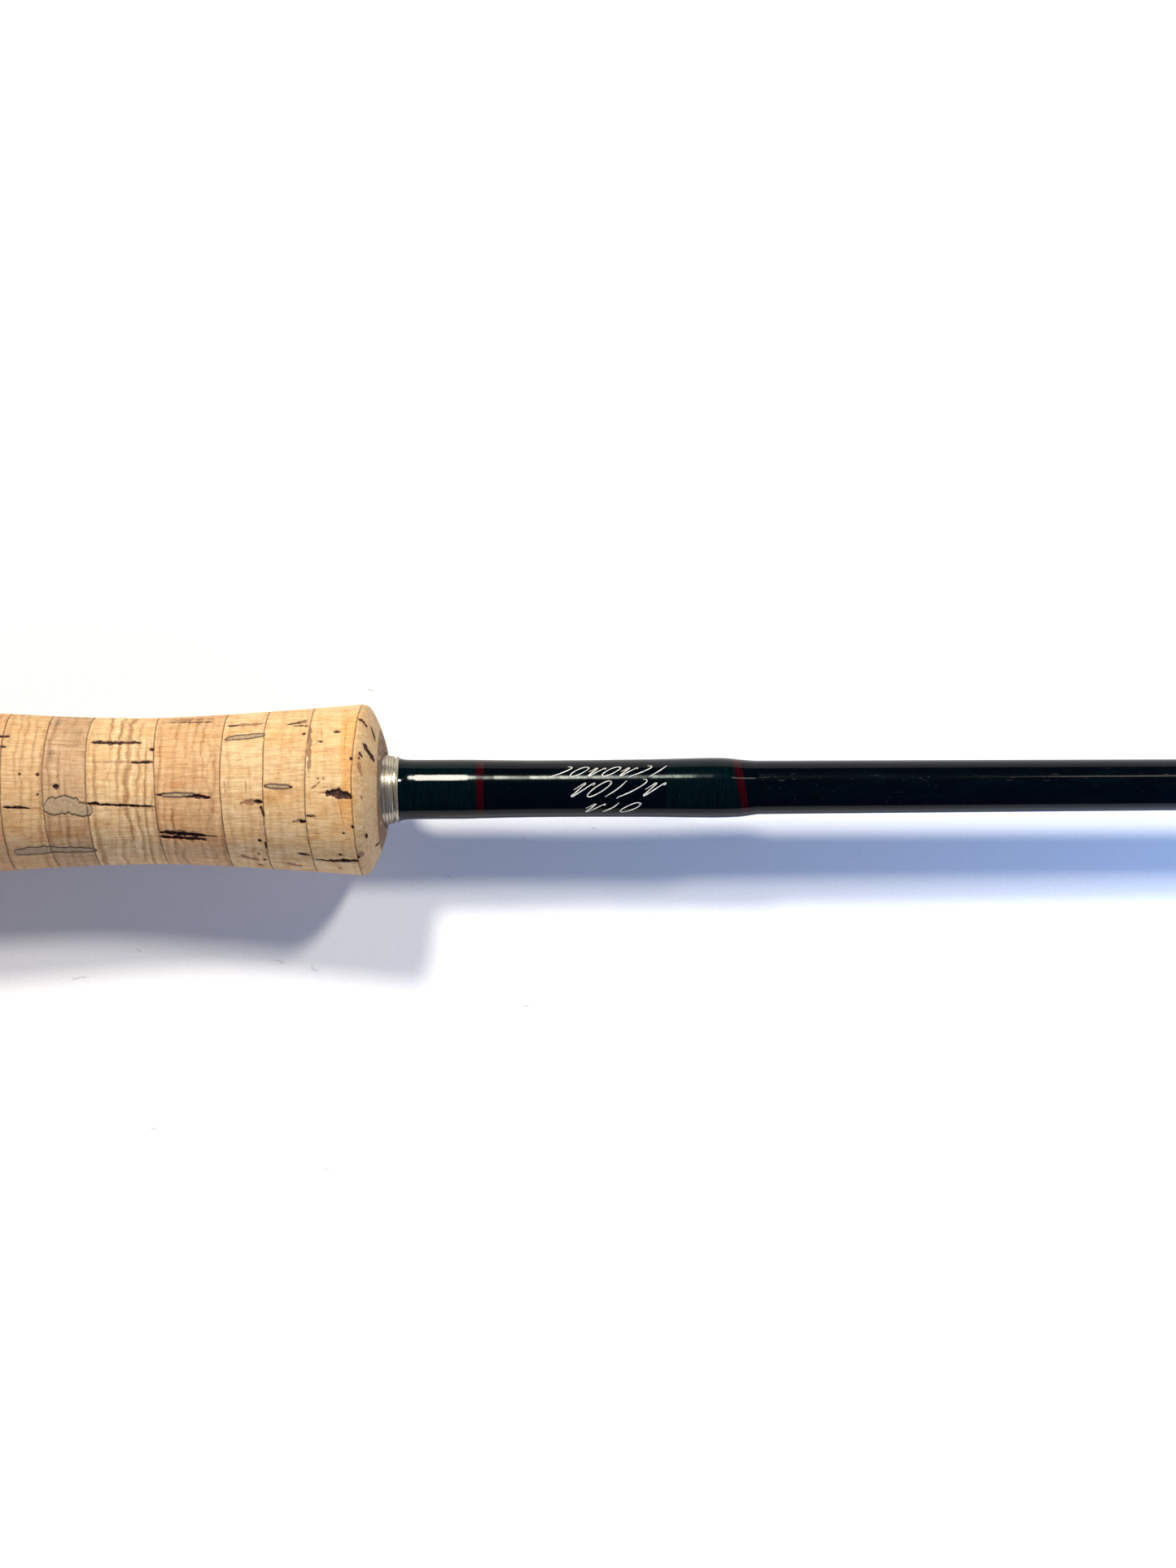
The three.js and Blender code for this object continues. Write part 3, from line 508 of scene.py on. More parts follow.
# ---- Cork grip
# Rings of natural cork glued face to face on the blank, turned to a full-wells shape on the
# lathe, sanded, and filled here and there. Each ring has its own tone, growth bands and pores.
cork_nodes = sorted(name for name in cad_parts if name.startswith("cork_ring_"))
GRIP_FRONT = ends(cork_nodes[0])[1]
LIP_RADIUS = 13.12
DOME_LENGTH = 3.75
WAIST = (35.0, 11.2)  # distance behind the front, and radius
SWELL = (88.0, 13.4)
HEEL_RADIUS = 10.7
grip_length = GRIP_FRONT - grip_start
# The dome's nose, as distances past the front and radii, and the dish round the check
DOME_NOSE = [(-2.4, 12.74), (-1.9, 12.2), (-1.4, 11.56), (-0.9, 10.8), (-0.4, 9.9),
             (0.05, 8.92), (0.4, 7.92), (0.66, 6.95), (0.82, 6.2)]
CHECK_DISH = [(0.8, 5.85), (0.55, 5.66), (0.2, 5.57)]


def grip_radius(x):
    behind = GRIP_FRONT - x
    if behind < -DOME_NOSE[0][0]:
        return float(np.interp(-behind, *zip(*DOME_NOSE)))
    if behind < DOME_LENGTH:
        out = 1 - behind / DOME_LENGTH
        return 5.45 + (LIP_RADIUS - 5.45) * (1 - out ** 2.2) ** (1 / 2.2)
    if behind < WAIST[0]:
        share = (WAIST[0] - behind) / (WAIST[0] - DOME_LENGTH)
        return WAIST[1] + (LIP_RADIUS - WAIST[1]) * share ** 1.38
    if behind < SWELL[0]:
        start, run, low, high = WAIST[0], SWELL[0] - WAIST[0], WAIST[1], SWELL[1]
    else:
        start, run, low, high = SWELL[0], grip_length - SWELL[0], SWELL[1], HEEL_RADIUS
    return low + (high - low) * (1 - math.cos(math.pi * (behind - start) / run)) / 2


def wander(value, seed):
    """A smooth wave that never quite repeats, between about -1 and 1."""
    turn = 2.4 * seed
    return (np.sin(value + turn) + 0.6 * np.sin(2.3 * value + 1.7 * turn)
            + 0.35 * np.sin(5.1 * value + 2.9 * turn)) / 1.95


# How far each joint between rings strays from square, from the front one back: a constant,
# a part that grows towards both sides of the top, and a tilt
JOINT_STRAY = {1: (0.15, 0.75, 0.0), 2: (0.1, 0.7, -0.1), 3: (0.1, 0.2, -0.2),
               4: (0.1, 0.3, -0.35), 5: (0.3, 0.1, -0.7), 6: (0.2, 0.2, -0.5),
               7: (0.15, 0.3, -0.4), 8: (0.2, 0.1, -0.3)}


def joint_stray(number, angle):
    level, sides, tilt = JOINT_STRAY.get(number, (0.0, 0.0, 0.0))
    if number in (0, len(cork_nodes)):
        return 0 * angle
    return (level + sides * np.sin(angle) ** 2 + tilt * np.sin(angle)
            + 0.09 * wander(angle * 3, number + 3))


# Marks in the cork that shows from above. Each runs from one (x, angle) to another, the angle
# in degrees from the top towards +Y, with half its width in millimetres.
CRACKS = [
    (208.0, 44, 210.3, 45, 0.17), (208.0, 35, 210.0, 35, 0.13), (209.9, -11, 213.8, -12, 0.15),
    (207.5, 79, 212.0, 80, 0.12), (217.3, 4, 218.1, 3.5, 0.3), (217.0, 79, 221.5, 80, 0.12),
    (222.5, 41, 225.0, 41, 0.26), (224.6, 41, 227.4, 40.6, 0.3), (227.0, 41, 230.1, 41, 0.2),
    (231.4, 34, 232.1, 34, 0.25), (228.8, 22.8, 232.2, 23, 0.16), (222.4, -9, 224.2, -9.5, 0.2),
    (222.4, -9.6, 232.4, -12, 0.14), (232.9, 76, 240.4, 72, 0.16), (233.4, 68, 240.3, 65, 0.2),
    (234.5, 71, 237.0, 70, 0.12), (232.6, -3, 234.6, -3, 0.13), (236.6, -3.2, 240.8, -5, 0.26),
    (232.9, -33.6, 239.9, -36, 0.34), (232.8, -38, 239.8, -40, 0.28), (239.5, -36.2, 241.6, -36.6, 0.07),
    (242.7, 41, 244.1, 41.4, 0.17), (242.9, 57, 244.4, 57, 0.14), (246.6, 43.2, 247.4, 43.6, 0.2),
    (247.4, -7.8, 248.7, -8.2, 0.2), (248.4, -11, 248.8, -19, 0.15), (248.7, -40, 248.8, -47, 0.1),
    (247.7, -38, 248.1, -40, 0.2), (247.4, -52, 247.7, -53, 0.14), (248.0, -60, 248.4, -61, 0.2),
    (247.2, -70, 247.8, -72, 0.24), (249.0, 3.2, 250.6, 2.8, 0.14), (251.6, 2.4, 253.2, 2, 0.14),
    (252.0, 54, 254.9, 58.4, 0.09), (251.8, 53.8, 255.0, 56, 0.13), (252.8, 52.2, 255.2, 51, 0.11),
    (254.4, 43, 254.9, 43, 0.16), (254.2, -21.6, 255.0, -22.4, 0.34), (253.4, -50, 255.4, -51.5, 0.17),
    (256.7, 35, 257.6, 35, 0.1), (259.2, 43.6, 260.1, 42.8, 0.18), (256.9, 8, 257.2, 8, 0.12),
    (257.7, 7.8, 258.0, 7.8, 0.1), (258.2, -1.5, 261.4, -3.0, 0.55), (260.0, -2.6, 262.0, -3.2, 0.34),
    (259.6, -4.6, 261.0, -4.0, 0.3), (261.0, -4.6, 262.1, -5.2, 0.26), (255.0, -18, 256.6, -18, 0.09),
    (260.5, -30, 260.9, -30.4, 0.11), (255.9, -56, 258.4, -57.2, 0.14), (258.0, -57, 262.6, -54.5, 0.34),
    (259.7, -48.6, 260.2, -49.4, 0.18), (259.3, -67, 259.8, -68, 0.2), (212.1, 13, 212.5, 13, 0.16),
    (214.8, 13.4, 215.2, 12.8, 0.2), (214.9, -1.6, 215.1, -2.4, 0.17), (261.8, 22, 262.1, 20, 0.16),
    (262.0, -24, 262.2, -27, 0.17), (262.3, -49, 262.7, -52, 0.22), (262.8, 56, 264.0, 51, 0.32),
    (264.5, 57, 265.2, 47, 0.26), (263.6, 34, 265.2, 25, 0.4), (263.1, 26, 263.6, 23, 0.2),
    (263.0, 22.6, 263.2, 21, 0.16), (263.9, -33, 264.1, -37, 0.2), (265.1, -54, 265.5, -60, 0.22),
]
BROWN_LINES = [
    (213.6, -12, 215.4, -12.2, 0.1), (216.2, 38, 222.2, 38, 0.12), (222.4, 23, 232.2, 23, 0.12),
    (232.5, 72.5, 241.0, 69, 0.14), (233.0, -35.8, 239.9, -38, 0.9), (242.8, 57, 248.5, 57, 0.42),
    (245.2, -9, 248.6, -8, 0.42), (248.7, -19, 248.6, -62, 0.1), (242.9, 8, 243.1, -4, 0.12),
    (246.1, 9, 246.3, -6, 0.1), (253.8, 10, 255.1, 11, 0.09), (253.0, -22, 254.8, -22, 0.36),
    (257.5, 35, 257.1, 53, 0.08), (255.5, 50, 255.7, 12, 0.34), (255.9, 0.6, 257.5, 6.2, 0.2),
    (260.2, -6, 260.7, -24, 0.09), (256.0, -31, 257.6, -31, 0.1), (260.7, -35, 261.6, -34.4, 0.1),
    (256.4, -18, 256.6, -21, 0.09), (263.0, 19, 263.6, 9, 0.34), (262.9, -46, 263.4, -51, 0.7),
    (261.0, 58, 260.9, 18, 0.09), (257.0, -2, 258.6, -1.6, 0.2), (263.2, -4, 263.7, -6, 0.26),
    (251.4, -64, 253.8, -68, 0.5), (244.6, -56, 247.4, -62, 0.4),
]
FILLED = [
    (215.9, -11.5, 218.6, -13.2, 1.0), (216.2, -10, 221.2, -10, 1.3), (219.6, -12.5, 223.1, -15, 1.0),
    (210.7, -50, 217.2, -48.4, 0.85), (214.6, -48.4, 223.0, -51, 0.55), (242.9, 42, 248.7, 44, 0.45),
    (233.4, -3, 238.4, -3, 0.32), (249.0, 3.2, 252.8, 2.3, 0.32),
]
# Each ring's own colour, and how strongly its growth bands show
RING_TONES = [
    (0.46, 0.315, 0.155, 0.0), (0.65, 0.455, 0.23, 0.12), (0.62, 0.43, 0.22, 0.2),
    (0.63, 0.44, 0.23, 0.35), (0.56, 0.355, 0.178, 0.8), (0.60, 0.42, 0.22, 1.2),
    (0.45, 0.295, 0.16, 0.7), (0.53, 0.345, 0.17, 0.6), (0.52, 0.33, 0.165, 0.6),
]
FINE_RINGS = 9  # the rings that show from above, which have a finer mesh
FINE_GRAIN = 0.165
COARSE_GRAIN = 0.42
CRACK_DEPTH = 0.42
SHAFT = np.linspace(grip_start, GRIP_FRONT + DOME_NOSE[-1][0], 800)
SHAFT_RADIUS = np.array([grip_radius(x) for x in SHAFT])
SHAFT_ARC = np.concatenate([[0], np.cumsum(np.hypot(np.diff(SHAFT), np.diff(SHAFT_RADIUS)))])


def spread(places, marks, seed, ragged=0.32):
    """How deep each place on a ring lies inside any of the marks, in millimetres. Places are
    distances along and round the surface and the ring's radius there."""
    along, round_angle, radius = places
    deepest = np.full(along.shape, -1.0)
    for number, (x0, turn0, x1, turn1, half) in enumerate(marks):
        start, end = np.interp([x0, x1], SHAFT, SHAFT_ARC)
        middle = math.radians((turn0 + turn1) / 2)
        near = (along > min(start, end) - 1.5) & (along < max(start, end) + 1.5)
        gap = (round_angle - middle + math.pi) % FULL_TURN - math.pi
        near &= np.abs(gap * radius) < abs(math.radians(turn1 - turn0)) / 2 * radius + half + 1.5
        if not near.any():
            continue
        rest, bow = along[near] - start, (gap * radius)[near]
        run = end - start
        climb = math.radians(turn1 - turn0) * radius[near]
        length = np.hypot(run, climb)
        share = (rest * run + (bow + climb / 2) * climb) / length ** 2
        across = (rest * climb - (bow + climb / 2) * run) / length
        wave = wander(share * length * 2.2, seed + number)
        body = np.sqrt(np.clip(1 - (2 * share - 1) ** 2, 0, 1)) ** 0.6
        width = half * body * (1 + 1.4 * ragged * wander(share * length * 3.1, seed + number + 7))
        inside = width - np.abs(across + ragged * half * wave)
        beyond = np.maximum(-share, share - 1) * length
        inside = np.where(beyond > 0, -np.hypot(beyond, across), inside)
        deepest[near] = np.maximum(deepest[near], inside)
    return deepest


def chance_marks(number, back, front, whole):
    """The pores that a ring shows on the sides and below, or all round on a ring behind."""
    draw = random.Random(100 + number)
    cracks, lines = [], []
    for _ in range(15 if front - back > 8 else 10):
        turn = draw.uniform(-180, 180) if whole else draw.uniform(88, 268)
        length = draw.uniform(0.3, 1.0) ** 1.6 * (front - back)
        x = draw.uniform(back, front - length)
        lean = draw.uniform(-3, 3)
        kind = cracks if draw.random() < 0.55 else lines
        kind.append((x, turn, x + length, turn + lean, draw.uniform(0.08, 0.3)))
    return cracks, lines


def evenly(start, end, count):
    return [start + (end - start) * k / count for k in range(count + 1)]


def give(mesh, name, kind, key, values):
    """Stores a value at each of a mesh's points, for its material to read."""
    layer = mesh.attributes.new(name, kind, "POINT")
    layer.data.foreach_set(key, np.asarray(values, np.float32).ravel())


def cork_ring(number, node):
    """Turns one ring, then wears, cracks and colours it point by point."""
    back, front = ends(node)
    fine = number < FINE_RINGS
    grain = FINE_GRAIN if fine else COARSE_GRAIN
    if number == 0:
        path = np.array([(x, grip_radius(x)) for x in SHAFT if x > back]
                        + [(GRIP_FRONT + x, r) for x, r in CHECK_DISH])
        run = np.concatenate([[0], np.cumsum(np.hypot(*np.diff(path, axis=0).T))])
        even = np.linspace(0, run[-1], round(run[-1] / grain))
        outside = np.stack([np.interp(even, run, path[:, k]) for k in (0, 1)], axis=1)
        outside[0] = back, grip_radius(back)
        for _ in range(8):  # eases the corners of the outline
            outside[1:-1] = (outside[:-2] + 2 * outside[1:-1] + outside[2:]) / 4
        outside = [tuple(map(float, place)) for place in outside]
    else:
        count = max(2, round((front - back) / grain))
        outside = [(x, grip_radius(x)) for x in evenly(back, front, count)]
    bore = bore_radius(back) + GLUE_ROOM
    last = outside[-1][0] - (0.15 if number == 0 else 0)
    sides = round(FULL_TURN * 12.3 / grain)
    mesh = keep(f"cork_{number + 1:02d}", turned([(back, bore), *outside, (last, bore)], sides),
                cork, [node], crease=60).data
    points = np.empty(len(mesh.vertices) * 3, np.float32)
    mesh.vertices.foreach_get("co", points)
    points = points.reshape(-1, 3) / MM
    x, radius = points[:, 0].astype(float), np.hypot(points[:, 1], points[:, 2])
    angle = np.arctan2(points[:, 1], points[:, 2])
    outer = radius > bore + 0.4
    share = np.clip((x - back) / (front - back), 0, 1)
    back_stray, front_stray = joint_stray(number + 1, angle), joint_stray(number, angle)
    x = x + outer * ((1 - share) * back_stray + share * front_stray)
    places = (np.interp(x, SHAFT, SHAFT_ARC), angle, radius)

    def held(marks):
        return [mark for mark in marks if back - 0.4 < (mark[0] + mark[2]) / 2 < front + 0.4]

    cracks, lines = chance_marks(number, back, front, whole=not fine)
    crack = spread(places, held(CRACKS) + cracks, number)
    line = spread(places, held(BROWN_LINES) + lines, number + 40)
    filled = spread(places, FILLED, number + 80, ragged=0.1) if fine else np.full(x.shape, -1.0)
    crack = np.where(filled > 0.12, np.minimum(crack, -0.3), crack)

    draw = random.Random(number)
    tone = RING_TONES[number] if number < len(RING_TONES) else (
        0.58 + draw.uniform(-0.06, 0.05), 0.385 + draw.uniform(-0.04, 0.03),
        0.195 + draw.uniform(-0.02, 0.02), draw.choice((0.1, 0.3, 0.5, 0.9)))
    wave = (x + 0.45 * wander(x * 0.6, number) + 0.1 * wander(angle * 19, number + 5)
            + (0.26 + 0.2 * wander(x * 0.7, number + 8)) * wander(angle * 6 + x * 0.45, number))
    patchy = np.clip(0.62 + 0.7 * wander(x * 0.75 + angle * 1.6, number + 13), 0.15, 1.2)
    bands = patchy * (np.sin(wave * 4.4 + 1.6 * wander(angle * 1.3, number))
                      + 0.5 * wander(wave * 1.9, number))
    from_joint = np.minimum(x - back - back_stray, front + front_stray - x)
    raised = (0.014 * wander(angle * 5, number) * wander(x * 0.7, number + 2)
              + 0.05 * tone[3] * bands + 0.012 * wander(angle * 37, number + 9)
              - CRACK_DEPTH * np.clip(crack / 0.14 + 0.25, 0, 1)
              - 0.07 * np.clip(line / 0.2 + 0.2, 0, 1)
              - 0.05 * np.clip(1 - np.abs(filled) / 0.12, 0, 1)
              - 0.05 * np.clip(1 - from_joint / 0.12, 0, 1))
    raised = np.where(outer & (x < GRIP_FRONT + 0.75), raised, 0)
    if number == 0:
        pressed = np.clip(x - GRIP_FRONT, 0, None) * np.clip((8.6 - radius) / 1.6, 0, 1) * outer
        x = x - 0.95 * pressed * np.clip(np.cos(angle), 0, 1) ** 1.5
    scale = np.where(radius > 0, (radius + raised) / np.maximum(radius, 1e-6), 1)
    points[:, 0] = x
    points[:, 1] *= scale
    points[:, 2] *= scale
    mesh.vertices.foreach_set("co", (points * MM).astype(np.float32).ravel())

    colour = np.tile(np.array(tone, np.float32), (len(x), 1))

    def tinge(strength, shade):
        colour[:, :3] += strength[:, None] * (np.array(shade) - colour[:, :3])

    if number == 1:  # glue has run over its front
        glue = np.clip((x - 259.9 - 0.5 * wander(angle * 4, 3)) / 0.7, 0, 1)
        glue *= np.clip((angle + 0.55) / 0.3, 0, 1) * np.clip((1.25 - angle) / 0.4, 0, 1)
        tinge(glue * 0.75, (0.64, 0.33, 0.09))
    if number == 6:  # a grey smear from handling
        smear = np.clip(wander(angle * 9, 4) * wander(x * 1.1, 6) * 1.6, 0, 1)
        smear *= np.clip((angle - 0.25) / 0.3, 0, 1)
        colour[:, :3] *= 1 - 0.38 * smear[:, None]
    if number == 0:  # the lip is as pale as the ring behind it
        edge = np.clip(1 - (x - 262.1 - 0.75 * np.sin(angle) ** 2) / 0.5, 0, 1)
        tinge(edge * 0.6, (0.68, 0.44, 0.16))
    give(mesh, "tint", "FLOAT_COLOR", "color", colour)
    give(mesh, "marks", "FLOAT_VECTOR", "vector", np.stack([crack, line, filled], axis=1))
    own_shift = np.full(x.shape, draw.uniform(0, 9))
    give(mesh, "detail", "FLOAT_VECTOR", "vector", np.stack([from_joint, own_shift, bands], axis=1))
    mesh.update()


cork, at = new_finish("cork")


def carried(name, output="Vector"):
    return at.node("Attribute", {"attribute_name": name}, output=output)


def parts(vector):
    return (vector.node("SeparateXYZ", None, {"Vector": vector}, axis) for axis in "XYZ")


tint, banding = carried("tint", "Color"), carried("tint", "Alpha")
crack, line, filled = parts(carried("marks"))
from_joint, ring_shift, bands = parts(carried("detail"))
shift = at.node("CombineXYZ", None, {"X": ring_shift * 13, "Y": ring_shift * 31, "Z": ring_shift * 7})
own = at.node("VectorMath", {"operation": "ADD"}, {"Vector": at, "Vector_001": shift})
ragged = own.noise(3.4, 3.0, 0.7) - 0.5
fibres = own.stretched(0.22, 2.9, 2.9).noise(1.0, 4.0, 0.75)
broad = own.stretched(0.35, 1.0, 1.0).noise(0.22, 3.0, 0.6)
patches = own.noise(0.5, 4.0, 0.65)
pinholes = own.stretched(0.55, 1.0, 1.0).noise(2.6, 2.0, 0.5)
fine_bands = (own.along() + broad * 3.2 + patches * 0.7).lines(1.35, 3.0, 0.7)
stain = own.stretched(1.0, 0.5, 0.5).noise(0.75, 5.0, 0.7).rise(0.52, 0.70)
dark_bands = fine_bands.rise(0.47, 0.70) * 0.42 + (0 - bands).rise(0.0, 1.0) * 0.75
pale_bands = bands.rise(0.35, 0.9) * banding
colour = fibres.rise(0.30, 0.72).mix(tint.tinted((0.78, 0.70, 0.60)),
                                     tint.tinted((1.14, 1.18, 1.24)))
for mask, shade in ((patches.rise(0.46, 0.72), (0.90, 0.80, 0.70)),
                    (broad.rise(0.42, 0.7), (0.96, 0.85, 0.72)),
                    (stain * 0.7, (0.86, 0.70, 0.55)),
                    (dark_bands * (banding * 0.85 + 0.14), (0.56, 0.46, 0.38)),
                    (pale_bands * 0.6, (1.2, 1.26, 1.36))):
    colour = mask.shaded(colour, shade)
colour = (pinholes.rise(0.67, 0.73) * 0.65).mix(colour, (0.20, 0.115, 0.06))
filler_edge = abs(filled + ragged * 0.12).rise(0.20, 0.08)
filler_body = (filled + ragged * 0.1).rise(-0.02, 0.05)
colour = filler_body.mix(colour, own.noise(2.4, 4.0, 0.7).rise(0.3, 0.7).mix(
    (0.26, 0.175, 0.10), (0.40, 0.285, 0.165)))
colour = (filler_edge * 0.92).mix(colour, (0.06, 0.035, 0.022))
lined = (line + ragged * 0.16).rise(-0.07, 0.12)
colour = (lined * 0.8).mix(colour, (0.19, 0.078, 0.036))
near_crack = (crack + ragged * 0.3).rise(-0.42, 0.0)
colour = (near_crack * 0.4).mix(colour, (0.30, 0.15, 0.07))
# Inside the cracks the colour turns near black. This is partly the cork's own dark pores and partly
# painted shade for the cracks' depth. The same mask also sinks them in the bump and roughens them.
cracked_and_shaded = (crack + ragged * 0.17).rise(-0.085, 0.01)
colour = cracked_and_shaded.mix(colour, own.noise(1.9, 3.0, 0.6).rise(0.4, 0.68).mix(
    (0.016, 0.008, 0.006), (0.10, 0.028, 0.015)))
joint = (from_joint + ragged * 0.09).rise(0.17, 0.04) * own.noise(0.9, 3.0, 0.6).rise(0.22, 0.5)
colour = (joint * 0.85).mix(colour, (0.11, 0.05, 0.026))
height = (fibres * 0.5 + own.noise(5.0, 3.0, 0.7) * 0.35 - cracked_and_shaded * 1.6 - lined * 0.5
          - filler_edge * 0.6 + filler_body * own.noise(4.0, 2.0) * 0.6)
paint(at, {"Base Color": colour, "Roughness": 0.62 + fibres * 0.2 + cracked_and_shaded * 0.15,
           "Specular IOR Level": 0.35, "Normal": height.bump(0.05, 0.6)})

for number, node in enumerate(cork_nodes):
    cork_ring(number, node)

# ---- Winding check
# A small nickel-silver collar against the grip's front. It is turned with a slightly belled
# flange, fine beads, one deep groove and a bright front ring.
check_start, check_front = ends("winding_check")
check_bore = bore_radius(check_front) + GLUE_ROOM + 0.02
check_metal = lathe_metal("check_metal", (0.46, 0.415, 0.335), (0.34, 0.295, 0.23), 0.2,
                          depth=0.0015, metallic=0.78)
beads = [  # distance behind the front, and radius
    (0, check_bore), (0, 4.86), (0.08, 5.0), (0.3, 5.1), (0.46, 5.05), (0.5, 4.72), (0.74, 4.72),
    (0.78, 5.06), (0.86, 5.14), (1.04, 5.17), (1.12, 5.11), (1.18, 5.17), (1.42, 5.24),
    (1.5, 5.19), (1.56, 5.26), (2.0, 5.34), (2.07, 5.30), (2.14, 5.38), (2.5, 5.46)]
keep("check_collar", turned(
    [(check_start, check_bore), *((check_front - back, radius) for back, radius in beads),
     (check_start, 5.48)], sides=160), check_metal, ["winding_check"], crease=24)

# ---- Thread wraps, red bands and signature coat
# Green nylon thread wound on the blank beside the check and at the coat's upper end, each with
# a narrow red band. One glossy epoxy coat covers them and the bare blank that is signed.
COAT_SHAPE = [  # x and radius of the coat's outside
    (268.4, 4.86), (268.6, 4.80), (268.85, 4.72), (269.2, 4.65), (269.8, 4.605), (271.0, 4.575),
    (275.0, 4.56), (279.0, 4.555), (280.25, 4.53), (281.4, 4.5), (283.0, 4.465), (285.5, 4.43),
    (288.5, 4.39), (293.0, 4.375), (298.0, 4.385), (303.0, 4.42), (307.0, 4.455), (309.1, 4.49),
    (311.5, 4.54), (314.0, 4.59), (316.5, 4.615), (318.4, 4.59), (319.4, 4.54), (320.1, 4.48),
    (320.7, 4.41), (321.25, 4.34), (321.8, 4.27), (322.4, 4.20), (323.0, 4.15), (323.5, 4.125)]
BAND_SLANT = 0.165
SLANT_REACH = 2.6
coat_x, coat_r = zip(*COAT_SHAPE)


def glossy(name, deep, threads, thread_colour, veil, roughness=0.055):
    """A dark colour under clear epoxy. The threads show only faintly through it."""
    material, at = new_finish(name)
    lay = at.along().lines(5.2, 2.0)
    strands = at.stretched(5.6, 0.25, 0.25).noise(1.0, 3.0, 0.6)
    cloudy = at.noise(0.35, 4.0, 0.6)
    dust = at.noise(3.1, 2.0, 0.5).rise(0.755, 0.79)
    colour = (strands.rise(0.4, 0.7) * threads).mix(deep, thread_colour)
    colour = (cloudy.rise(0.4, 0.8) * 0.5).shaded(colour, veil)
    colour = (dust * 0.35).mix(colour, (0.12, 0.13, 0.12))
    ripple = at.stretched(0.5, 1.0, 1.0).noise(0.55, 2.0, 0.5) + lay * threads * 0.12
    paint(at, {"Base Color": colour, "Roughness": roughness + cloudy * 0.05 + dust * 0.2,
               "IOR": 1.5, "Specular IOR Level": 0.13, "Normal": ripple.bump(0.03, 0.35)})
    return material


green_thread = glossy("green_thread", (0.0003, 0.0026, 0.0038), 0.8, (0.0008, 0.0066, 0.0080),
                      (0.5, 1.1, 1.2))
red_thread = glossy("red_thread", (0.015, 0.0005, 0.0018), 0.8, (0.036, 0.0020, 0.0046),
                    (0.6, 0.5, 0.6))
clear_coat = glossy("clear_coat", (0.0002, 0.0013, 0.0029), 0.3, (0.0006, 0.0036, 0.0056),
                    (0.6, 1.2, 1.3))


def coat_radius(x):
    return float(np.interp(x, coat_x, coat_r))


def slanted(bm, middle):
    """Leans the red band a little, with what lies next to it."""
    for vert in bm.verts:
        nearness = math.exp(-((vert.co.x / MM - middle) / SLANT_REACH) ** 2)
        vert.co.x -= vert.co.y * BAND_SLANT * nearness


upper_band = ends("upper_trim_band")
for name, node, finish in (
        ("wrap_at_check", "check_wrap", green_thread),
        ("red_band_lower", "lower_trim_band", red_thread),
        ("signed_coat", "signature_coat", clear_coat),
        ("wrap_upper", "upper_wrap", green_thread),
        ("red_band_upper", "upper_trim_band", red_thread),
        ("coat_runout", None, clear_coat)):
    start, end = ends(node) if node else (upper_band[1], coat_x[-1])
    stations = evenly(start, end, max(3, round((end - start) / 0.22)))
    shell = turned([(start, bore_radius(start) - 0.02), (end, bore_radius(end) - 0.02),
                    *((x, coat_radius(x)) for x in reversed(stations))], 144)
    if start > 300:
        slanted(shell, sum(upper_band) / 2)
    keep(name, shell, finish, [node] if node else (), crease=50)

# ---- Pen marks
# Three short lines that the maker wrote in white paint with a fine nib, before the coat went
# on. They are plain flourishes that say nothing, laid on the blank's round surface.
white_paint, at = new_finish("white_paint")
flow = at.noise(1.6, 4.0, 0.7)
paint(at, {"Base Color": flow.rise(0.3, 0.7).mix((0.50, 0.49, 0.43), (0.86, 0.84, 0.76)),
           "Roughness": 0.35 + flow * 0.15, "Normal": flow.bump(0.03, 0.5)})
PEN_HALF_WIDTH = 0.068
PEN_SLANT = 1.35
PEN_POINTS = 15


def wires(paths, fineness=10, roundness=4):
    """Round wires through points in millimetres, each point an x, y, z and radius."""
    curve = bpy.data.curves.new("wire", "CURVE")
    curve.dimensions = "3D"
    curve.bevel_depth = MM
    curve.bevel_resolution = roundness
    curve.resolution_u = fineness
    curve.use_fill_caps = True
    for path in paths:
        spline = curve.splines.new("BEZIER")
        spline.bezier_points.add(len(path) - 1)
        for point, (*place, radius) in zip(spline.bezier_points, path):
            point.co = Vector(place) * MM
            point.radius = radius
            point.handle_left_type = point.handle_right_type = "AUTO"
    shown = bpy.data.objects.new("wire", curve)
    bpy.context.scene.collection.objects.link(shown)
    bpy.context.view_layer.update()
    mesh = bpy.data.meshes.new_from_object(shown)
    bpy.data.objects.remove(shown)
    bm = bmesh.new()
    bm.from_mesh(mesh)
    bpy.data.meshes.remove(mesh)
    bmesh.ops.remove_doubles(bm, verts=bm.verts, dist=1e-6)
    bmesh.ops.recalc_face_normals(bm, faces=bm.faces)
    return bm


def stroke(shape, t):
    """Where a pen stroke is across and up its room, a share of the way along it."""
    if shape == "loop":
        swing = FULL_TURN * t * 1.12 + 0.7
        return 0.42 + 0.36 * math.cos(swing) + 0.1 * t, 0.5 + 0.5 * math.sin(swing)
    if shape == "hook":
        return (0.12 + 0.66 * math.sin(math.pi * min(1, t * 1.25)) * (1 - 0.5 * t),
                1 - t + 0.12 * math.sin(FULL_TURN * t))
    if shape == "bar":
        return 0.38 + 0.12 * math.sin(math.pi * t), 1 - t
    return 0.05 + 0.85 * t, 0.45 + 0.4 * math.sin(FULL_TURN * t * 1.4)


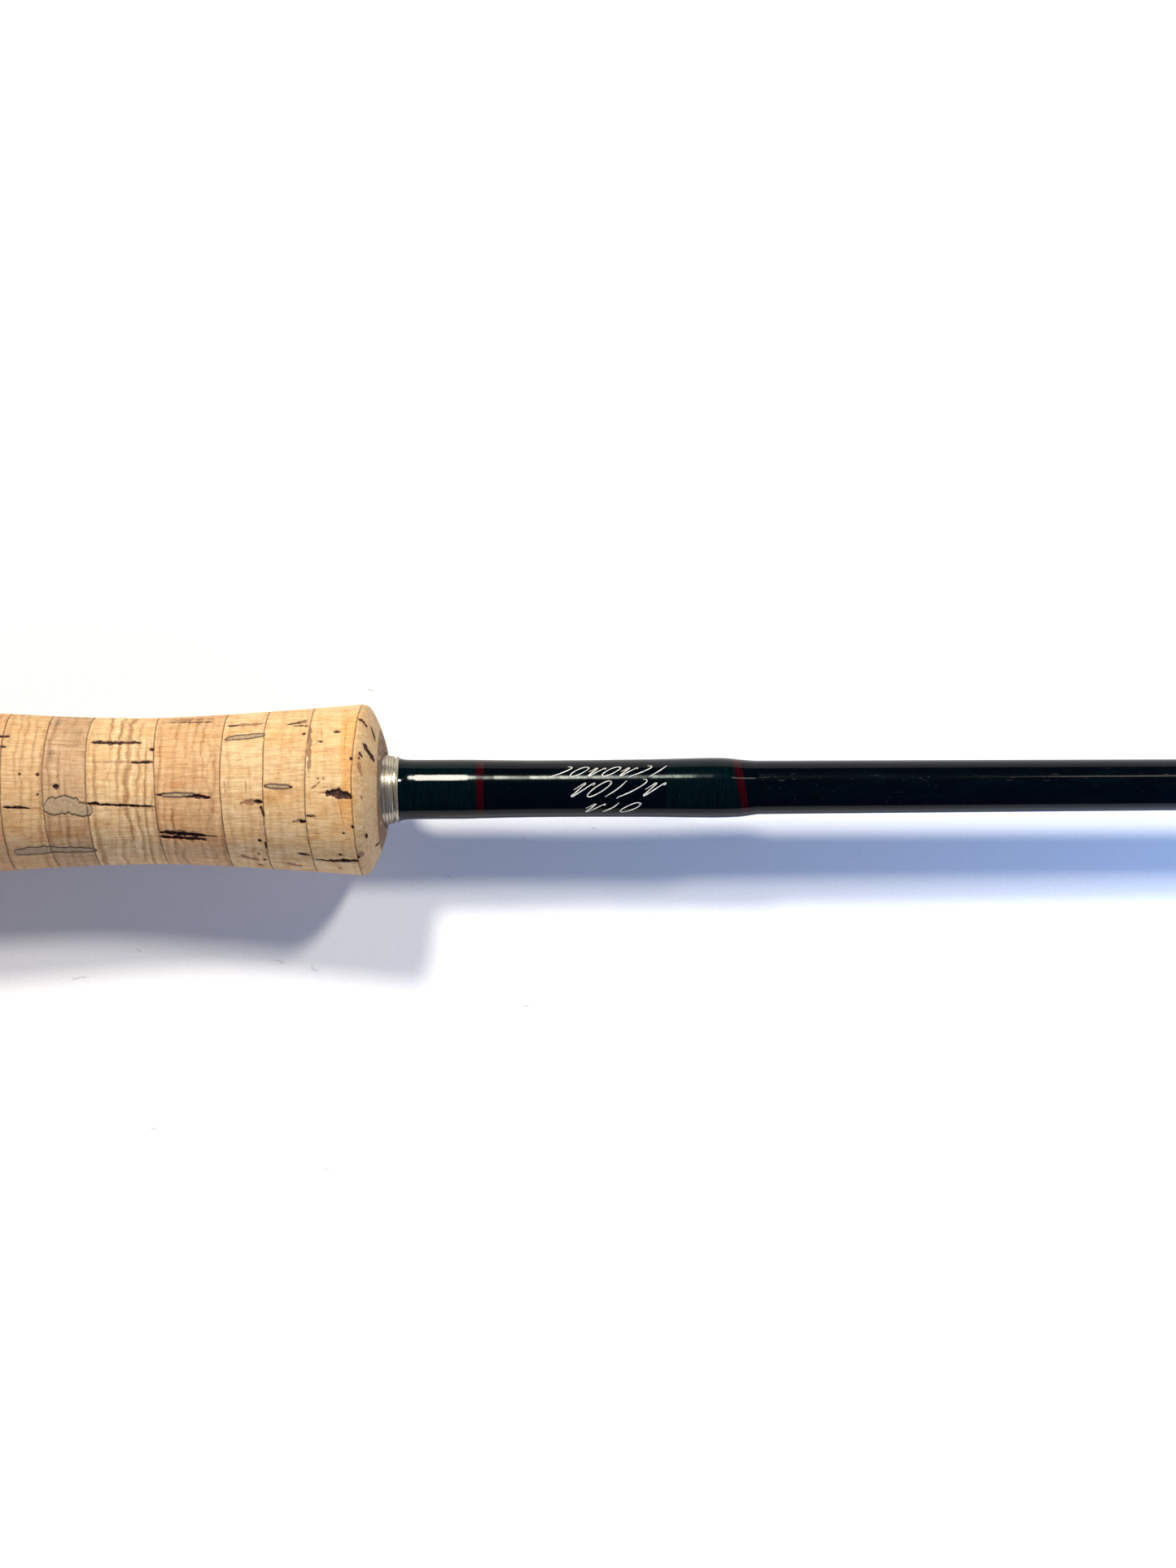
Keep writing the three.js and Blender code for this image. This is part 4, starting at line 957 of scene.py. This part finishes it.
def pen_line(name, start, end, turn, height, shapes, seed):
    """A row of slanted strokes and loops between two x, round the rod by an angle."""
    draw = random.Random(seed)
    room = (end - start) / len(shapes)
    paths = []
    for k, shape in enumerate(shapes):
        tall = height * draw.uniform(0.8, 1.0)
        paths.append([])
        for t in evenly(0, 1, PEN_POINTS - 1):
            u, v = stroke(shape, t)
            x = start + room * (k + 0.86 * u) + (v - 0.5) * tall * PEN_SLANT
            radius = coat_radius(x) + 0.012
            angle = turn + (v - 0.5) * tall / radius
            press = 0.55 + 0.75 * math.sin(math.pi * t) * draw.uniform(0.75, 1.1)
            paths[-1].append((x, radius * math.sin(angle), radius * math.cos(angle),
                              PEN_HALF_WIDTH * press))
    keep(name, wires(paths, 4, 2), white_paint, crease=60)


pen_line("pen_line_1", 292.6, 309.6, math.radians(36), 2.2,
         ("hook", "loop", "wave", "loop", "wave", "hook", "bar"), 5)
pen_line("pen_line_2", 295.2, 308.8, math.radians(-1), 3.0,
         ("wave", "loop", "bar", "hook", "wave"), 12)
pen_line("pen_line_3", 297.0, 305.4, math.radians(-42), 2.1, ("wave", "bar", "loop"), 23)

# ---- Blanks and spigot ferrule
# Two tapered graphite tubes, rolled, cured and varnished a very dark green-blue. The lower
# one holds a ground graphite spigot that the upper one slides over.
BLANK_STATIONS = [(0, 4.95, 0.75), (322.85, 4.13, 0.75), (418.85, 3.87, 0.75),
                  (1362, 2.7, 0.75), (2743.2, 0.9, 0.35)]  # x, radius, wall
station_x, station_r, station_wall = zip(*BLANK_STATIONS)


def blank_radius(x):
    return float(np.interp(x, station_x, station_r))


def blank_bore(x):
    return blank_radius(x) - float(np.interp(x, station_x, station_wall))


graphite, at = new_finish("graphite")
tape_lines = at.along().lines(0.9, 4.0, 0.7)
cloudy = at.stretched(0.3, 1.0, 1.0).noise(0.5, 3.0, 0.6)
scratches = at.stretched(0.5, 9.0, 9.0).noise(1.0, 3.0, 0.6).rise(0.685, 0.72)
dust = at.noise(2.3, 2.0, 0.5).rise(0.765, 0.80)
varnish = cloudy.rise(0.35, 0.75).mix((0.0003, 0.0012, 0.0030), (0.0005, 0.0024, 0.0044))
varnish = (tape_lines.rise(0.5, 0.7) * 0.5).shaded(varnish, (0.5, 0.6, 0.7))
varnish = (scratches * 0.12 + dust * 0.4).mix(varnish, (0.16, 0.16, 0.15))
paint(at, {"Base Color": varnish, "IOR": 1.5, "Specular IOR Level": 0.13,
           "Roughness": 0.075 + cloudy * 0.05 + scratches * 0.18 + dust * 0.2,
           "Normal": (cloudy + tape_lines * 0.5 - scratches * 0.4).bump(0.02, 0.3)})


def blank_tube(start, end, rim=0.12):
    """A tapered tube with its mouth eased at both ends."""
    inside = evenly(start, end, max(4, round((end - start) / 25)))
    stations = sorted({*inside, *(x for x in station_x if start < x < end)})
    return turned(
        [(x, blank_bore(x)) for x in stations]
        + [(end, blank_bore(end) + rim), (end, blank_radius(end) - rim),
           (end - rim, blank_radius(end))]
        + [(x, blank_radius(x)) for x in reversed(stations[1:-1])]
        + [(start + rim, blank_radius(start)), (start, blank_radius(start) - rim)], 96)


for name, node, body in (("lower_blank", "butt_blank", "root"),
                         ("upper_blank", "tip_blank", "tip_section")):
    keep(name, blank_tube(*ends(node)), graphite, [node], body)

spigot_graphite, at = new_finish("ground_graphite")
ground = at.along().lines(6.0, 4.0)
rub = at.noise(0.7, 4.0, 0.6)
paint(at, {"Base Color": rub.rise(0.4, 0.7).mix((0.016, 0.017, 0.018), (0.035, 0.036, 0.037)),
           "Roughness": 0.42 + ground * 0.15, "Normal": ground.bump(0.01, 0.6)})
spigot_start, spigot_end = ends("ferrule_spigot")
lower_end = ends("butt_blank")[1]
spigot_low, spigot_high = (blank_bore(x) - GLUE_ROOM for x in (lower_end, spigot_end))
keep("spigot", turned([
    (spigot_start, 0), (spigot_start, spigot_low - 0.3), (spigot_start + 0.4, spigot_low),
    (lower_end, spigot_low), (spigot_end - 0.8, spigot_high), (spigot_end, spigot_high - 0.5),
    (spigot_end, 0),
], 72, eased=0.04), spigot_graphite, ["ferrule_spigot"])

# ---- Ferrule wraps
# Green thread wound tight round both mouths of the ferrule, so that the tubes can't split,
# under the same glossy coat. Each coat swells in the middle and runs out at its ends.
THREAD_BUILD = 0.28


def coated_wrap(start, end, build, foot=0.0, foot_end=0, sides=72):
    """A coated wrap. Over a guide's foot it lifts on the +Y side, and falls at the foot's end."""
    def section(share):
        x = start + (end - start) * share
        fade = min(1, min(share, 1 - share) * (end - start) / 1.1)
        rise = build * (0.28 + 0.72 * math.sin(fade * math.pi / 2))
        past_foot = min(share, 1 - share) if foot_end == 0 else (
            1 - share if foot_end > 0 else share)
        under = foot * min(1, max(0, past_foot * (end - start) - 0.6) / 1.8)

        def radius_at(angle):
            off = (angle + math.pi) % FULL_TURN - math.pi
            drape = math.exp(-(off * blank_radius(x) / 0.95) ** 2)
            return blank_radius(x) + rise + under * drape

        return x, radius_at

    out = [section(share) for share in evenly(0, 1, max(8, round((end - start) / 0.5)))]
    inside = [(end, plain(blank_radius(end) + 0.02)), (start, plain(blank_radius(start) + 0.02))]
    return lofted(out + inside, sides)


for node, body in (("butt_ferrule_wrap", "root"), ("tip_ferrule_wrap", "tip_section")):
    start, end = ends(node)
    keep(node + "_coated", coated_wrap(start, end, THREAD_BUILD), green_thread, [node], body,
         crease=50)

# ---- Snake guides
# Each is one hard-chromed steel wire, bent so that it crosses over the blank in a loop. Its
# two flat feet are bound down with green thread and coated.
guide_steel, at = new_finish("guide_steel")
drawn = at.stretched(0.4, 7.0, 7.0).noise(1.0, 4.0, 0.65)
worn = at.noise(1.3, 3.0, 0.6).rise(0.5, 0.7)
paint(at, {"Base Color": worn.mix((0.63, 0.64, 0.66), (0.46, 0.46, 0.47)), "Metallic": 1.0,
           "Roughness": 0.14 + drawn * 0.1 + worn * 0.1, "Normal": drawn.bump(0.01, 0.5)})
SNAKE_WIRE = 0.45
SNAKE_HALF_LENGTH = 13.0
SNAKE_FOOT = 6.5
SMALLEST_SNAKE = 0.78


def snake_guide(number, body):
    node = f"snake_guide_{number}"
    start, end = ends(node)
    centre = (start + end) / 2
    scale = 1 + (SMALLEST_SNAKE - 1) * (number - 1) / 8
    reach = SNAKE_HALF_LENGTH * scale
    surface = blank_radius(centre - reach) + 0.03 + SNAKE_WIRE
    bend = reach - SNAKE_FOOT * scale
    rise, width = 4.2 * scale, 2.2 * scale
    half = [(reach, surface - 0.2, 0, 0.22), (reach - 1.6, surface - 0.08, 0, 0.36),
            (bend, surface, 0, SNAKE_WIRE),
            (bend * 0.66, surface + rise * 0.26, width * 0.72, SNAKE_WIRE),
            (bend * 0.3, surface + rise * 0.7, width, SNAKE_WIRE), (0, surface + rise, 0, SNAKE_WIRE)]
    other = [(-x, y, -z, radius) for x, y, z, radius in reversed(half[:-1])]
    path = [(centre - x, y, z, radius) for x, y, z, radius in half + other]
    keep(f"snake_wire_{number}", wires([path]), guide_steel, [node], body, crease=60)
    foot = 2 * SNAKE_WIRE - 0.05
    rear = coated_wrap(start, centre - bend, 0.3, foot, foot_end=-1)
    front = coated_wrap(centre + bend, end, 0.3, foot, foot_end=1)
    keep(f"snake_wraps_{number}", join(rear, front), green_thread, [node], body, crease=50)


for number in range(1, 10):
    snake_guide(number, "root" if number == 1 else "tip_section")

# ---- Stripping guide
# The first and largest guide: a steel hoop on three wire legs with two flattened feet. A
# polished ceramic ring is pressed into the hoop, and green wraps hold the feet.
ceramic, at = new_finish("ceramic")
fired = at.noise(1.1, 3.0, 0.6)
paint(at, {"Base Color": fired.rise(0.4, 0.7).mix((0.012, 0.013, 0.014), (0.03, 0.031, 0.032)),
           "Roughness": 0.07 + fired * 0.06, "Coat Weight": 0.4, "Coat Roughness": 0.05,
           "Normal": fired.bump(0.01, 0.3)})
ring_low, ring_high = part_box("stripping_guide_ring")
stripper_x = (ring_low.x + ring_high.x) / 2 / MM
ring_centre = (ring_low.y + ring_high.y) / 2 / MM
ring_outside = (ring_high.z - ring_low.z) / 2 / MM
ring_half = (ring_high.x - ring_low.x) / 2 / MM
RING_BORE = 4.8


def oval(x, radius, half_x, half_radius, count):
    """An outline of so many corners round a centre."""
    return [(x + half_x * math.cos(angle), radius + half_radius * math.sin(angle))
            for angle in (FULL_TURN * k / count for k in range(count))]


def moved(bm, x, y, z=0.0):
    bmesh.ops.translate(bm, verts=bm.verts, vec=Vector((x, y, z)) * MM)
    return bm


keep("ceramic_ring", moved(turned(oval(
    stripper_x, (ring_outside + RING_BORE) / 2, ring_half * 0.98,
    (ring_outside - RING_BORE) / 2, 20), 96), 0, ring_centre),
    ceramic, ["stripping_guide_ring"], crease=60)

HOOP_INSIDE = ring_outside + 0.1
HOOP_OUTSIDE = HOOP_INSIDE + 0.77
FOOT_REACH, FOOT_LENGTH, FOOT_WIDE, FOOT_THICK = 11.0, 12.0, 2.6, 0.8
LEG_RADIUS = 0.62
foot_height = blank_radius(stripper_x) + 0.3 + FOOT_THICK / 2
frame_parts = [moved(turned([
    (stripper_x - 0.8, HOOP_INSIDE), (stripper_x + 0.8, HOOP_INSIDE),
    (stripper_x + 0.8, HOOP_OUTSIDE), (stripper_x - 0.8, HOOP_OUTSIDE),
], 96, eased=0.28, segments=4), 0, ring_centre)]
for direction in (-1, 1):
    foot = bmesh.new()
    bmesh.ops.create_cube(foot, size=1.0)
    bmesh.ops.scale(foot, verts=foot.verts, vec=Vector((FOOT_LENGTH, FOOT_THICK, FOOT_WIDE)) * MM)
    for vert in foot.verts:  # thins and narrows its outer end
        if vert.co.x * direction > 0:
            vert.co.y -= 0.25 * MM if vert.co.y > 0 else 0
            vert.co.z *= 0.55
    bmesh.ops.bevel(foot, geom=foot.edges[:], offset=0.18 * MM, segments=3, profile=0.5,
                    affect="EDGES", material=-1)
    frame_parts.append(moved(foot, stripper_x + direction * (FOOT_REACH + FOOT_LENGTH / 2),
                             foot_height))
hoop_middle = (HOOP_INSIDE + HOOP_OUTSIDE) / 2
for direction, side in ((-1, -5.2), (-1, 5.2), (1, 0)):
    shoulder = ring_centre - math.sqrt(hoop_middle ** 2 - side ** 2)
    knee_height = foot_height + (shoulder - foot_height) * 0.42
    frame_parts.append(wires([[
        (stripper_x + direction * (FOOT_REACH + 3.2), foot_height, side * 0.06, 0.4),
        (stripper_x + direction * (FOOT_REACH + 0.6), foot_height + 0.05, side * 0.13, LEG_RADIUS),
        (stripper_x + direction * FOOT_REACH * 0.55, knee_height, side * 0.55, LEG_RADIUS),
        (stripper_x + direction * 0.25, shoulder, side, LEG_RADIUS)]]))
keep("stripper_frame", join(*frame_parts), guide_steel, ["stripping_guide_frame"], crease=40)
for node, direction in (("stripper_rear_wrap", -1), ("stripper_front_wrap", 1)):
    start, end = ends(node)
    keep(node + "_coated", coated_wrap(start, end, 0.32, 1.0, foot_end=direction), green_thread,
         [node], crease=50)

# ---- Tip-top
# A short steel tube glued over the rod's end, with a wire loop brazed across it for the line
# and a narrow thread wrap behind.
tube_start = ends("tip_top")[0]
rod_end = cad_high.x / MM
loop_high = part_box("tip_top")[1].y / MM
TUBE_OUTSIDE = blank_radius(tube_start) + 0.42
LOOP_RADIUS = 2.25
loop_centre = loop_high - LOOP_RADIUS - SNAKE_WIRE
LOOP_X = rod_end - SNAKE_WIRE
tube = turned([(tube_start, TUBE_OUTSIDE - 0.3), (LOOP_X, TUBE_OUTSIDE - 0.34),
               (LOOP_X, TUBE_OUTSIDE), (tube_start + 0.5, TUBE_OUTSIDE),
               (tube_start, TUBE_OUTSIDE - 0.12)], 64, eased=0.05)
loop = moved(turned(oval(LOOP_X, LOOP_RADIUS, SNAKE_WIRE, SNAKE_WIRE, 16), 72), 0, loop_centre)
braze = bmesh.new()
bmesh.ops.create_uvsphere(braze, u_segments=24, v_segments=14, radius=0.8 * MM)
bmesh.ops.scale(braze, verts=braze.verts, vec=(0.5, 0.62, 1.25))
moved(braze, LOOP_X - 0.02, TUBE_OUTSIDE - 0.1)
keep("tip_top_loop", join(tube, loop, braze), guide_steel, ["tip_top"], "tip_section", crease=40)
start, end = ends("tip_top_wrap")
keep("tip_wrap_coated", coated_wrap(start, end, THREAD_BUILD), green_thread, ["tip_top_wrap"],
     "tip_section", crease=50)

# ---- Table top
# A plain pale matt board under the rod, which rests on its grip, with a few stray fibres.
paper, at = new_finish("pale_board")
tooth = at.noise(1.8, 4.0, 0.65)
paint(at, {"Base Color": tooth.rise(0.3, 0.7).mix((0.80, 0.80, 0.80), (0.83, 0.83, 0.83)),
           "Roughness": 0.85, "Specular IOR Level": 0.2, "Normal": tooth.bump(0.02, 0.25)})
floor_height = cad_low.z / MM


def set_down(name, shape, material):
    """Makes a shape part of the setting, which isn't part of the rod."""
    mesh = bpy.data.meshes.new(name)
    shape.to_mesh(mesh)
    shape.free()
    mesh.materials.append(material)
    item = bpy.data.objects.new(name, mesh)
    bpy.context.scene.collection.objects.link(item)


board = bmesh.new()
bmesh.ops.create_grid(board, x_segments=8, y_segments=8, size=12.0)
set_down("table_top", moved(board, 1370, 0, floor_height), paper)

fibre_finish, at = new_finish("fibre")
paint(at, {"Base Color": at.noise(2.0).mix((0.25, 0.24, 0.25), (0.5, 0.48, 0.46)),
           "Roughness": 0.9})
FIBRES = [  # x, y and length in millimetres
    (275.3, -13.9, 1.1), (287.0, -7.9, 0.8), (298.1, -6.3, 0.7), (287.3, -34.4, 0.8),
    (248.2, -27.2, 1.3), (253.8, -28.4, 1.6), (216.6, -29.5, 1.9), (262.9, 15.8, 1.0),
    (226.0, -25.2, 0.8), (255.6, -60.0, 0.9), (228.0, -53.5, 1.0)]
draw = random.Random(9)
for number, (x, y, length) in enumerate(FIBRES):
    heading = draw.uniform(0, math.pi)
    bow = [(x + length * ((t - 0.5) * math.cos(heading) + 0.3 * math.sin(3 * t + heading)),
            y + length * ((t - 0.5) * math.sin(heading) + 0.2 * math.cos(4 * t)),
            floor_height + 0.06, 0.025) for t in evenly(0, 1, 4)]
    set_down(f"fibre_{number}", wires([bow]), fibre_finish)

# ---- Light
# Two soft lamps over the far side of the table, a cool fill from the near side, and narrow
# panels that only glossy surfaces show, as the room's windows do along the varnish.
scene = bpy.context.scene
scene.view_settings.view_transform = "Standard"
scene.view_settings.look = "None"


def hang(name, kind, energy, colour, facing, place=(0, 0, 0)):
    light = bpy.data.lights.new(name, kind)
    light.energy, light.color = energy, colour
    shown = bpy.data.objects.new(name, light)
    shown.location = place
    shown.rotation_mode = "QUATERNION"
    shown.rotation_quaternion = facing
    scene.collection.objects.link(shown)
    return shown


def backing(direction):
    """The turn that points a light's back along a direction, so that it shines from there."""
    return Vector(direction).to_track_quat("Z", "Y")


for name, energy, colour, towards, width in (
        ("lamp_right", 2.0, (1.0, 0.96, 0.88), (0.65, 0.735, 1.0), 8),
        ("lamp_left", 3.4, (1.0, 0.95, 0.86), (-0.34, 0.975, 1.0), 8),
        ("window_fill", 0.95, (0.76, 0.77, 0.9), (0.05, -0.93, 0.36), 60)):
    lamp = hang(name, "SUN", energy, colour, backing(towards))
    lamp.data.angle = math.radians(width)
    lamp.visible_glossy = name != "window_fill"

BLUE_PLACE = Vector((0.48, -0.10, 0.10))
BLUE_AIM = Vector((0.40, -0.01, 0))
blue_side = hang("blue_side", "AREA", 0.36, (0.22, 0.45, 1.0), backing(BLUE_PLACE - BLUE_AIM),
                 BLUE_PLACE)
blue_side.data.size = 0.12
blue_side.visible_glossy = blue_side.visible_camera = False
LOOKING_AT = Vector((0.2973, 0, 0.004))
PANEL_DISTANCE = 3.0


def gloss_panel(name, lean_from, lean_to, tilt_from, tilt_to, radiance, colour):
    """A glowing panel that only glossy surfaces see. It spans a range of x direction, and of
    degrees from straight up towards +Y."""
    lean, tilt = (lean_from + lean_to) / 2, math.radians((tilt_from + tilt_to) / 2)
    flat = math.sqrt(1 - lean * lean)
    direction = Vector((lean, flat * math.sin(tilt), flat * math.cos(tilt)))
    across = (Vector((1, 0, 0)) - direction * direction.x).normalized()
    turn = Matrix((across, direction.cross(across), direction)).transposed().to_quaternion()
    wide = PANEL_DISTANCE * (lean_to - lean_from)
    tall = PANEL_DISTANCE * math.radians(tilt_to - tilt_from)
    panel = hang(name, "AREA", radiance * math.pi * wide * tall, colour, turn,
                 LOOKING_AT + direction * PANEL_DISTANCE)
    panel.data.shape = "RECTANGLE"
    panel.data.size, panel.data.size_y = wide, tall
    panel.visible_diffuse = panel.visible_camera = False


gloss_panel("panel_bright", -0.078, -0.041, 35, 58, 105, (1.0, 0.95, 0.82))
gloss_panel("panel_mid", -0.041, -0.012, 40, 53, 100, (0.95, 1.0, 0.86))
gloss_panel("panel_late", -0.012, 0.0, 41, 51, 30, (0.9, 1.0, 0.86))
gloss_panel("panel_dim", 0.0, 0.045, 42, 50, 3.2, (0.8, 1.0, 0.9))
gloss_panel("panel_far", 0.195, 0.30, 39, 43, 13, (1.0, 0.9, 0.72))

world = bpy.data.worlds.new("room")
world.use_nodes = True
world.node_tree.nodes.clear()
scene.world = world
room = Signal(world.node_tree)
from_camera = room.node("LightPath", output="Is Camera Ray")
from_gloss = room.node("LightPath", output="Is Glossy Ray")
sky = from_gloss.mix((0.13, 0.12, 0.115), (0.02, 0.024, 0.028))
sky = from_camera.mix(sky, (0.90, 0.91, 0.92))
glow = room.node("Background", None, {"Color": sky, "Strength": 1.0})
room.node("OutputWorld", None, {"Surface": glow})

# ---- Camera
# It looks straight down at the front of the grip and the signed butt, turned by a third of a
# degree, so that the rod climbs slightly from left to right.
lens = bpy.data.cameras.new("camera")
lens.lens, lens.sensor_width = 63.5, 36.0
lens.clip_start, lens.clip_end = 0.01, 50.0
camera = bpy.data.objects.new("camera", lens)
camera.location = (0.2973, 0.00068, 0.425)
camera.rotation_euler = Euler((0, 0, math.radians(-0.355)))
scene.collection.objects.link(camera)
scene.camera = camera
